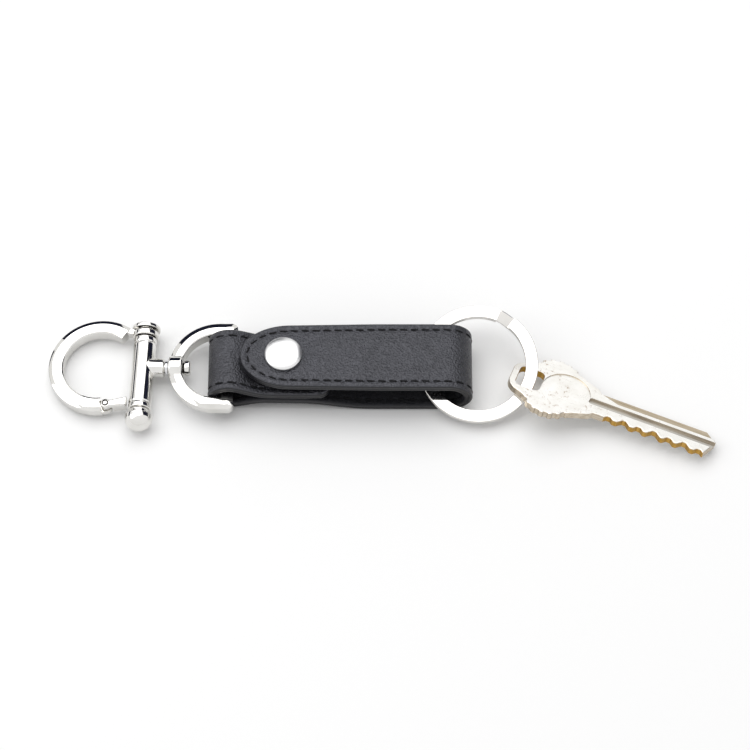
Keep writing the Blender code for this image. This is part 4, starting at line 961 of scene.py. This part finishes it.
for step in range(STEM_STEPS + 1):
    share = step / STEM_STEPS
    flare = STEM_FLARE * share**STEM_FLARE_POWER
    height = stem_end - STEM_STRAIGHT - (stem_end - STEM_STRAIGHT - BARREL_X) * share
    stem_profile.append((STEM_RADIUS + flare, height))
stem_profile.append((0, BARREL_X))
worked(barrel, turned_mesh("stem", stem_profile, "X"), CLASP_PLACE, "UNION")
stem_bore = rod(bore_radius, stem_end + OVERRUN, pin_end - RUNNING_GAP)
worked(barrel, turned_mesh("stem_bore", stem_bore, "X", 48), CLASP_PLACE)
finished(barrel, CHROME, "cross_barrel", "clasp")

FAR_CAP_RADIUS = 3.6 * MM
FAR_CAP_RISE = 0.8 * MM
FAR_CAP_RIM = 0.8 * MM
NEAR_CAP_RADIUS = 3.5 * MM
NEAR_CAP_RISE = 3.5 * MM
NEAR_CAP_RIM = 0.6 * MM
CAP_FOOT_SOFTNESS = 0.3 * MM


def end_cap_profile(radius, rise, rim, base, steps):
    """A domed cap for the end of the barrel, with a softened foot."""
    profile = dome_profile(radius, rise, rim, base, steps)
    profile[-1:] = soft_corners([profile[-2], (radius, base), (0, base)], CAP_FOOT_SOFTNESS)[1:]
    return profile


far_cap_base = barrel_far + FAR_NECK + RUNNING_GAP
far_cap_profile = end_cap_profile(FAR_CAP_RADIUS, FAR_CAP_RISE, FAR_CAP_RIM, far_cap_base, 14)
far_cap = turned_piece("far_cap_turned", far_cap_profile, BARREL_PLACE, "Y", 96)
finished(far_cap, CHROME, "far_cap", "clasp")
near_cap_profile = end_cap_profile(NEAR_CAP_RADIUS, NEAR_CAP_RISE, NEAR_CAP_RIM, 0, 22)
near_cap_place = (
    BARREL_PLACE
    @ Matrix.Translation((0, barrel_near - NEAR_NECK - RUNNING_GAP, 0))
    @ Matrix.Rotation(math.pi, 4, "X")
)
near_cap = turned_piece("near_cap_turned", near_cap_profile, near_cap_place, "Y", 96)
finished(near_cap, CHROME, "near_cap", "clasp")


# The horseshoe bow is one flat cast band, bevelled like the D-ring. An eye at its far end grips the barrel's
# neck, and its near end is a half lug, over which the gate's knuckle turns on a pin with a small coil spring.
BOW_X = -33.0 * MM
BOW_THICKNESS = 3.5 * MM
BOW_BEVEL = 1.05 * MM
TAB_INSET = 0.15 * MM
TAB_EDGE = 0.5 * MM
TAB_THICKNESS = 2.6 * MM
TAB_ROOT = math.radians(5)
EYE_RADIUS = 3.35 * MM
EYE_SOFTNESS = 0.35 * MM
KNUCKLE_RADIUS = 1.25 * MM
LUG_RADIUS = 1.6 * MM
LUG_ROOT = math.radians(4)
LUG_FLOOR = 0.25 * MM
GATE_PIN_RADIUS = 0.55 * MM
POCKET_RADIUS = 1.35 * MM
POCKET_DEPTH = 1.0 * MM


def polar(radius, angle):
    return Vector((BOW_X + radius * math.cos(angle), radius * math.sin(angle)))


bow_outer = arc_line((BOW_X, 0), BOW_RADIUS, BOW_FAR_END, 2 * math.pi + BOW_NEAR_END, 132)
bow_inner = arc_line((BOW_X, 0), BOW_RADIUS - BOW_BAND, BOW_FAR_END, 2 * math.pi + BOW_NEAR_END, 132)
bow_rows = list(zip(bow_outer, bow_inner))
bow = new_piece("bow_cast", band_mesh("bow_cast", bow_rows, BOW_THICKNESS, BOW_BEVEL, False))
bow.matrix_world = CLASP_PLACE
eye_far = barrel_far + FAR_NECK - RUNNING_GAP
eye_near = barrel_far + RUNNING_GAP
tab_root = polar(BOW_MIDDLE, BOW_FAR_END + TAB_ROOT)
tab_outer = polar(BOW_RADIUS - TAB_EDGE, BOW_FAR_END + TAB_ROOT)
tab = [tab_root, Vector((BARREL_X, eye_near + TAB_INSET)), Vector((BARREL_X, eye_far - TAB_INSET)), tab_outer]
worked(bow, plate_mesh("tab", [tab], TAB_THICKNESS), CLASP_PLACE, "UNION")
eye_profile = soft_corners(rod(EYE_RADIUS, eye_far, eye_near), EYE_SOFTNESS)
worked(bow, turned_mesh("eye", eye_profile, "Y"), BARREL_PLACE, "UNION")
eye_bore = rod(NECK_RADIUS + RUNNING_GAP, eye_far + OVERRUN, barrel_far - RUNNING_GAP)
worked(bow, turned_mesh("eye_bore", eye_bore, "Y"), BARREL_PLACE)
pivot_place = polar(BOW_MIDDLE, GATE_PIVOT)
PIVOT_PLACE = CLASP_PLACE @ Matrix.Translation((pivot_place.x, pivot_place.y, 0))
tall = BOW_THICKNESS
knuckle_room = rod(KNUCKLE_RADIUS + RUNNING_GAP, tall, -tall)
worked(bow, turned_mesh("knuckle_room", knuckle_room, sides=64), PIVOT_PLACE)
lug_top = -RUNNING_GAP / 2
lug_thickness = BOW_THICKNESS / 2 - RUNNING_GAP / 2 - LUG_FLOOR
lug_root = polar(BOW_MIDDLE, BOW_NEAR_END - LUG_ROOT)
lug = arc_line(pivot_place, LUG_RADIUS, -math.pi / 2, math.pi / 2, 28)
lug += [lug_root + Vector((0, LUG_RADIUS)), lug_root - Vector((0, LUG_RADIUS))]
lug_level = Matrix.Translation((0, 0, lug_top - lug_thickness / 2))
worked(bow, plate_mesh("lug", [lug], lug_thickness), CLASP_PLACE @ lug_level, "UNION")
pin_bore = rod(GATE_PIN_RADIUS + RUNNING_GAP, tall, -tall)
worked(bow, turned_mesh("pin_hole", pin_bore, sides=40), PIVOT_PLACE)
pocket = rod(POCKET_RADIUS, tall, lug_top - POCKET_DEPTH)
worked(bow, turned_mesh("spring_pocket", pocket, sides=48), PIVOT_PLACE)
finished(bow, CHROME, "bow", "clasp")

GATE_RISE = 0.8 * MM
GATE_BEVEL = 0.42 * MM
KNUCKLE_OPENING = math.radians(45)
FINGER_START_HALF = 0.8 * MM
FINGER_END_HALF = 1.2 * MM
FINGER_WIDENING = 0.4 * MM
FINGER_TIP = 0.3 * MM
FINGER_DROP = 0.125 * MM
FINGER_THINNING = 0.5 * MM
GATE_PIN_PROUD = 0.2 * MM
gate_tip = BARREL_X - BARREL_RADIUS - RUNNING_GAP - pivot_place.x
gate_top = BOW_THICKNESS / 2
knuckle = arc_line((0, 0), KNUCKLE_RADIUS, KNUCKLE_OPENING, 2 * math.pi - KNUCKLE_OPENING, 40)
bridge_end = [Vector((gate_tip, GATE_RISE + side * FINGER_END_HALF)) for side in (-1, 1)]
upper_thickness = gate_top - lug_top - RUNNING_GAP
upper = plate_mesh("gate_cast", [knuckle + bridge_end], upper_thickness)
upper.transform(Matrix.Translation((0, 0, gate_top - upper_thickness / 2)))
gate = new_piece("gate_cast", upper)
gate.matrix_world = PIVOT_PLACE
bevelled(gate, GATE_BEVEL, 5)
finger_start = LUG_RADIUS + RUNNING_GAP
finger_share = finger_start / gate_tip
start_rise = GATE_RISE * finger_share
start_half = FINGER_START_HALF + FINGER_WIDENING * finger_share
finger = [
    Vector((finger_start, start_rise - start_half)),
    Vector((gate_tip - FINGER_TIP, GATE_RISE - FINGER_END_HALF + FINGER_TIP / 2)),
    Vector((gate_tip - FINGER_TIP, GATE_RISE + FINGER_END_HALF - FINGER_TIP / 2)),
    Vector((finger_start, start_rise + start_half)),
]
finger_place = PIVOT_PLACE @ Matrix.Translation((0, 0, -FINGER_DROP))
worked(gate, plate_mesh("gate_finger", [finger], BOW_THICKNESS - FINGER_THINNING), finger_place, "UNION")
worked(gate, turned_mesh("gate_pin_hole", pin_bore, sides=40), PIVOT_PLACE)
finished(gate, CHROME, "gate", "gate")
pin_rod = soft_corners(rod(GATE_PIN_RADIUS, gate_top + GATE_PIN_PROUD, -BOW_THICKNESS / 2), GATE_PIN_PROUD)
gate_pin = turned_piece("gate_pin_turned", pin_rod, PIVOT_PLACE, sides=40)
finished(gate_pin, CHROME, "gate_pin", "clasp")
SPRING_WIRE = polished_metal("spring_wire", (0.42, 0.33, 0.22), (0.55, 0.45, 0.32), 0.25, 0.4)
coil = bpy.data.objects["gate_spring"]
coil.data.materials.clear()
coil.data.materials.append(SPRING_WIRE)


# The split ring is one flat nickel wire wound twice, and steps up where it climbs over its own start. It
# leans on the strap's lower layer and stands up a little at its far side.
RING_RADIUS = 15.1 * MM
RING_BAND = 3.1 * MM
RING_WIRE = 1.0 * MM
RING_TURN_GAP = 0.12 * MM
RING_EDGE = 0.24 * MM
RING_MIDDLE = RING_RADIUS - RING_BAND / 2
RING_STEP = math.radians(16)
RING_SPLIT = math.radians(68)
RING_ROWS = 420
RING_END_GAP = 0.6 * MM
RING_CENTRE = (25.9 * MM, 0.6 * MM, 6.228 * MM)
RING_TILT = math.radians(14.5)
RING_PLACE = Matrix.Translation(RING_CENTRE) @ Matrix.Rotation(RING_TILT, 4, "X")
EDGE_STEPS = 5


def ring_level(travel):
    """Level of the wire after a travel along its two turns, from the lower layer up to the upper one."""
    share = min(max((travel - 2 * math.pi + RING_STEP) / RING_STEP, 0), 1)
    return (RING_WIRE + RING_TURN_GAP) / 2 * (2 * share * share * (3 - 2 * share) - 1)


wire_outline = []
for side_x, side_z in ((1, 1), (-1, 1), (-1, -1), (1, -1)):
    start = math.atan2(side_z, side_x) - math.pi / 4
    for step in range(EDGE_STEPS + 1):
        angle = start + math.pi / 2 * step / EDGE_STEPS
        x = side_x * (RING_BAND / 2 - RING_EDGE) + RING_EDGE * math.cos(angle)
        z = side_z * (RING_WIRE / 2 - RING_EDGE) + RING_EDGE * math.sin(angle)
        wire_outline.append((x, z))
whole_travel = 4 * math.pi - RING_STEP - RING_END_GAP / RING_MIDDLE
ring_verts = []
for row in range(RING_ROWS + 1):
    travel = whole_travel * row / RING_ROWS
    angle = RING_SPLIT + travel
    for x, z in wire_outline:
        radius = RING_MIDDLE + x
        ring_verts.append((radius * math.cos(angle), radius * math.sin(angle), ring_level(travel) + z))
count = len(wire_outline)
# The wire's faces run the other way round from its outline
ring_faces = [tuple(range(count)), tuple(range(RING_ROWS * count, (RING_ROWS + 1) * count))[::-1]]
ring_faces += [(b, a, d, c) for a, b, c, d in row_faces(RING_ROWS + 1, count)]
ring_mesh = faced_outwards(mesh_of("split_ring_wound", ring_verts, ring_faces))
RING_NICKEL = polished_metal("ring_nickel", (0.74, 0.72, 0.69), (0.86, 0.84, 0.81), 0.06, 0.12)
split_ring = new_piece("split_ring_wound", ring_mesh)
split_ring.matrix_world = RING_PLACE
finished(split_ring, RING_NICKEL, "split_ring", "split_ring")


# The key is a stamped nickel-brass blank with a stepped bow. It has a milled groove on each face, a rebate
# along the blade's far edge and cuts along its near edge, whose fresh walls are yellow brass.
KEY_ROUND_RING = math.radians(-18.5)
KEY_TURN = math.radians(-20.7)
KEY_PITCH = math.radians(3.552)
KEY_ROLL = math.radians(-20)
on_wire = (RING_MIDDLE * math.cos(KEY_ROUND_RING), RING_MIDDLE * math.sin(KEY_ROUND_RING), 0)
KEY_PLACE = (
    Matrix.Translation((RING_PLACE @ Matrix.Translation(on_wire)).to_translation())
    @ Matrix.Rotation(KEY_TURN, 4, "Z")
    @ Matrix.Rotation(KEY_PITCH, 4, "Y")
    @ Matrix.Rotation(KEY_ROLL, 4, "X")
)
KEY_THICKNESS = 1.9 * MM
KEY_LENGTH = 54.0 * MM
KEY_BOW_LENGTH = 19.5 * MM
KEY_BOW_HALF = 10.0 * MM
KEY_HOLE_RIM = 1.6 * MM
KEY_HOLE_LENGTH = 6.6 * MM
KEY_HOLE_WIDTH = 7.2 * MM
KEY_HOLE_CORNER = 1.5 * MM
KEY_EDGE_BEVEL = 0.22 * MM
BLADE_START = 22.8 * MM
BLADE_HALF = 4.1 * MM
SHOULDER = 0.9 * MM
TIP_LENGTH = 3.0 * MM
TIP_SLANT = 0.9 * MM
# The bow's side as shares of its length and half width, and the cuts' depths as shares of the blade's width
KEY_BOW_SIDE_SHARES = (
    (0.00, 0.26), (0.03, 0.38), (0.10, 0.50), (0.20, 0.58), (0.27, 0.66), (0.31, 0.80), (0.38, 0.92),
    (0.48, 0.99), (0.60, 1.00), (0.71, 0.94), (0.80, 0.83), (0.86, 0.73), (0.93, 0.66), (1.00, 0.60),
)
KEY_CUT_DEPTH_SHARES = (0.09, 0.15, 0.11, 0.17, 0.12, 0.16, 0.10)
FIRST_CUT = 4.0 * MM
LAST_CUT_TO_TIP = 0.5 * MM
CUT_FLANK_SHARE = 0.35
CUT_ROOT_SHARE = 0.228
SIDE_STEPS = 4
# The rim's small steps run between these points of the bow's side
NOTCHES_FROM, NOTCHES_TO = 14, 46
NOTCH_GAP = 1.15 * MM
NOTCH_DEPTH = 0.32 * MM
GROOVE_CUT = 0.7 * MM
# Each groove's name, its face, its width and how far it lies from the blade's middle
KEY_GROOVES = (("upper_groove", 1, 2.1 * MM, -0.1 * MM), ("lower_groove", -1, 1.5 * MM, 1.4 * MM))
REBATE_WIDTH = 2.2 * MM
REBATE_RUN = 5.0 * MM
REBATE_DEPTH = 0.6 * MM
RECESS_SHIFT = 1.0 * MM
RECESS_RIM = 2.0 * MM
RECESS_HALF_SHARE = 0.62
RECESS_DEPTH = 0.25 * MM
RECESS_STEPS = 72


def smooth_through(points, steps):
    """A smooth line through points, kept on its first and last."""
    points = [Vector(point) for point in points]
    line = []
    for index in range(len(points) - 1):
        before = points[max(index - 1, 0)]
        start, end = points[index], points[index + 1]
        after = points[min(index + 2, len(points) - 1)]
        start_pull, end_pull = (end - before) / 2, (after - start) / 2
        line += [pulled(start, start_pull, end, end_pull, step / steps) for step in range(steps)]
    return line + [points[-1]]


def rounded_oblong(width, height, radius, steps=8):
    x = width / 2 - radius
    y = height / 2 - radius
    outline = []
    for centre_x, centre_y, start in ((x, y, 0), (-x, y, 90), (-x, -y, 180), (x, -y, 270)):
        first, last = math.radians(start), math.radians(start + 90)
        outline += arc_line((centre_x, centre_y), radius, first, last, steps)
    return outline


def notched(line, first, last, gap, depth):
    """A line with small square steps between two of its points, the way a die cuts a rim."""
    stepped = line[:first]
    lengths = spread(0, line_length(line[first : last + 1]), gap)
    places = at_distances(line[first : last + 1], lengths)
    for index in range(len(places) - 1):
        for point, way in (places[index], places[index + 1]):
            stepped.append(point + Vector((way.y, -way.x)) * (depth if index % 2 else 0))
    return stepped + line[last + 1 :]


side_points = [(x * KEY_BOW_LENGTH, y * KEY_BOW_HALF) for x, y in KEY_BOW_SIDE_SHARES]
bow_side = notched(smooth_through(side_points, SIDE_STEPS), NOTCHES_FROM, NOTCHES_TO, NOTCH_GAP, NOTCH_DEPTH)
neck = BLADE_START - SHOULDER
blade_end = KEY_LENGTH - TIP_LENGTH
key_outline = bow_side + [Vector((neck, BLADE_HALF + SHOULDER)), Vector((BLADE_START, BLADE_HALF))]
key_outline.append(Vector((blade_end, BLADE_HALF)))
key_outline.append(Vector((KEY_LENGTH, BLADE_HALF - TIP_LENGTH)))
key_outline.append(Vector((KEY_LENGTH - TIP_SLANT, TIP_LENGTH - BLADE_HALF)))
near_edge = [Vector((neck, -BLADE_HALF - SHOULDER)), Vector((BLADE_START, -BLADE_HALF))]
first_cut = BLADE_START + FIRST_CUT
pitch = (blade_end - LAST_CUT_TO_TIP - first_cut) / (len(KEY_CUT_DEPTH_SHARES) - 1)
for index, depth in enumerate(KEY_CUT_DEPTH_SHARES):
    middle = first_cut + pitch * index
    flank = pitch * CUT_FLANK_SHARE * depth / max(KEY_CUT_DEPTH_SHARES)
    root = pitch * CUT_ROOT_SHARE / 2
    floor = -BLADE_HALF + 2 * BLADE_HALF * depth
    near_edge += [Vector((middle - root - flank, -BLADE_HALF)), Vector((middle - root, floor))]
    near_edge += [Vector((middle + root, floor)), Vector((middle + root + flank, -BLADE_HALF))]
key_outline += near_edge[::-1] + [Vector((x, -y)) for x, y in bow_side][::-1]
KEY_START = Matrix.Translation((-KEY_HOLE_RIM - KEY_HOLE_LENGTH / 2, 0, 0))
blank = plate_mesh("key_blank", [key_outline], KEY_THICKNESS)
blank.transform(KEY_START)
key = new_piece("key_stamped", blank)
key.matrix_world = KEY_PLACE
bevelled(key, KEY_EDGE_BEVEL, 3, math.radians(60))
hole = rounded_oblong(KEY_HOLE_LENGTH, KEY_HOLE_WIDTH, KEY_HOLE_CORNER)
worked(key, plate_mesh("key_hole", [hole], KEY_THICKNESS + OVERRUN), KEY_PLACE)
for name, side, width, offset in KEY_GROOVES:
    groove_start = BLADE_START - width
    groove_length = KEY_LENGTH + OVERRUN - groove_start
    groove = plate_mesh(name, [rounded_oblong(groove_length, width, width / 3)], KEY_THICKNESS)
    lift = Matrix.Translation((groove_start + groove_length / 2, offset, side * (KEY_THICKNESS - GROOVE_CUT)))
    worked(key, groove, KEY_PLACE @ KEY_START @ lift)
rebate = [
    Vector((BLADE_START, BLADE_HALF - SHOULDER / 2)),
    Vector((BLADE_START + REBATE_RUN, BLADE_HALF - REBATE_WIDTH)),
    Vector((KEY_LENGTH + OVERRUN, BLADE_HALF - REBATE_WIDTH)),
    Vector((KEY_LENGTH + OVERRUN, BLADE_HALF + OVERRUN)),
    Vector((BLADE_START, BLADE_HALF + OVERRUN)),
]
lift = Matrix.Translation((0, 0, KEY_THICKNESS - REBATE_DEPTH))
worked(key, plate_mesh("far_rebate", [rebate], KEY_THICKNESS), KEY_PLACE @ KEY_START @ lift)
recess_middle = (KEY_HOLE_RIM + KEY_HOLE_LENGTH + BLADE_START) / 2 - RECESS_SHIFT
recess_length = BLADE_START - KEY_HOLE_RIM - KEY_HOLE_LENGTH - RECESS_RIM
recess_half = KEY_BOW_HALF * RECESS_HALF_SHARE
turns = [2 * math.pi * step / RECESS_STEPS for step in range(RECESS_STEPS)]
oval = [Vector((recess_length / 2 * math.cos(turn), recess_half * math.sin(turn))) for turn in turns]
for side in (1, -1):
    lift = Matrix.Translation((recess_middle, 0, side * (KEY_THICKNESS - RECESS_DEPTH)))
    worked(key, plate_mesh("recess", [oval], KEY_THICKNESS), KEY_PLACE @ KEY_START @ lift)


def key_nickel(name, colours, spots):
    """Worn nickel: brushed along the key, a little yellow, with brown specks gathered in patches."""
    material, tree, look = new_material(name)
    look["Metallic"].default_value = 1
    own = own_coordinates(tree)
    cloud = noise_of(tree, own, 260, 4, 0.6)
    speck = noise_of(tree, own, 900, 4, 0.7)
    patch = noise_of(tree, own, 170, 2, 0.5)
    brushed = noise_of(tree, own, 1500, 4, 0.7, (0.06, 1, 1))
    dressed(tree, look, cloud, colours, brushed, (0.24, 0.40), bumped(tree, brushed, 0.000006))
    both = tree.nodes.new("ShaderNodeMath")
    both.operation = "MULTIPLY"
    tree.links.new(ranged(tree, speck, 0, 1, 0.56, 0.66), both.inputs[0])
    tree.links.new(ranged(tree, patch, 0, 0.7, 0.46, 0.6), both.inputs[1])
    mix = between_colours(tree, both.outputs[0], (0, 0, 0), spots)
    tree.links.new(look["Base Color"].links[0].from_socket, mix.node.inputs["A"])
    tree.links.new(mix, look["Base Color"])
    return material


def milled_finish(name, grain, *colours, depth=0.00001):
    """A cut or milled face, with fine lines the way that the cutter ran."""
    return one_grain_finish(name, grain, colours, (0.26, 0.42), depth, metallic=1)


NICKEL_COLOURS = ((0.86, 0.84, 0.79), (0.96, 0.95, 0.92))
SPOT_COLOUR = (0.34, 0.22, 0.12)
ACROSS_PLATE = (1600, 3, 0.6, (1, 1, 0.08))
ALONG_BLADE = (2400, 3, 0.6, (0.04, 1, 1))
NICKEL, CUT_BRASS, MILLED_REBATE, MILLED_GROOVE, SHADED_WALL = range(5)
finished(key, key_nickel("key_nickel", NICKEL_COLOURS, SPOT_COLOUR), "key", "key")
for material in (
    milled_finish("cut_brass", ACROSS_PLATE, (0.36, 0.20, 0.035), (0.54, 0.33, 0.09), depth=0.000008),
    milled_finish("milled_rebate", ALONG_BLADE, (0.40, 0.33, 0.23), (0.56, 0.48, 0.37)),
    milled_finish("milled_groove", ALONG_BLADE, (0.46, 0.44, 0.41), (0.62, 0.60, 0.56)),
    # A darker beige painted shade for the key's side walls and bevels, standing in for the shaded table that
    # they reflect
    milled_finish("worn_edge", ALONG_BLADE, (0.40, 0.33, 0.24), (0.66, 0.59, 0.49)),
):
    key.data.materials.append(material)

# A face is a wall, a floor or an edge by how far its normal leans from the plate's own
WALL_LEAN, FLOOR_LEAN, EDGE_LEAN = 0.3, 0.5, 0.8
CUT_REACH_SHARE = 0.55
HOLE_REACH = 5.2 * MM
HOLE_RIGHT = 3.4 * MM
MILLED_BEFORE_BLADE = 1.9 * MM
FLOOR_LEVEL = 0.45 * MM
cuts_from = first_cut - pitch / 2 + KEY_START.translation.x
milled_from = BLADE_START + KEY_START.translation.x - MILLED_BEFORE_BLADE
# Side walls and bevels that are not cut take the painted shade, and the flats keep the nickel
for polygon in key.data.polygons:
    centre, lean = polygon.center, abs(polygon.normal.z)
    on_cut = centre.x > cuts_from and centre.y < -BLADE_HALF * CUT_REACH_SHARE
    in_hole = math.hypot(centre.x, centre.y) < HOLE_REACH and centre.x < HOLE_RIGHT
    milled_floor = centre.x > milled_from and abs(centre.z) < FLOOR_LEVEL and lean > FLOOR_LEAN
    if lean < WALL_LEAN and (on_cut or in_hole):
        polygon.material_index = CUT_BRASS
    elif milled_floor:
        in_rebate = centre.y > BLADE_HALF - REBATE_WIDTH
        polygon.material_index = MILLED_REBATE if in_rebate else MILLED_GROOVE
    else:
        polygon.material_index = SHADED_WALL if lean < EDGE_LEAN else NICKEL
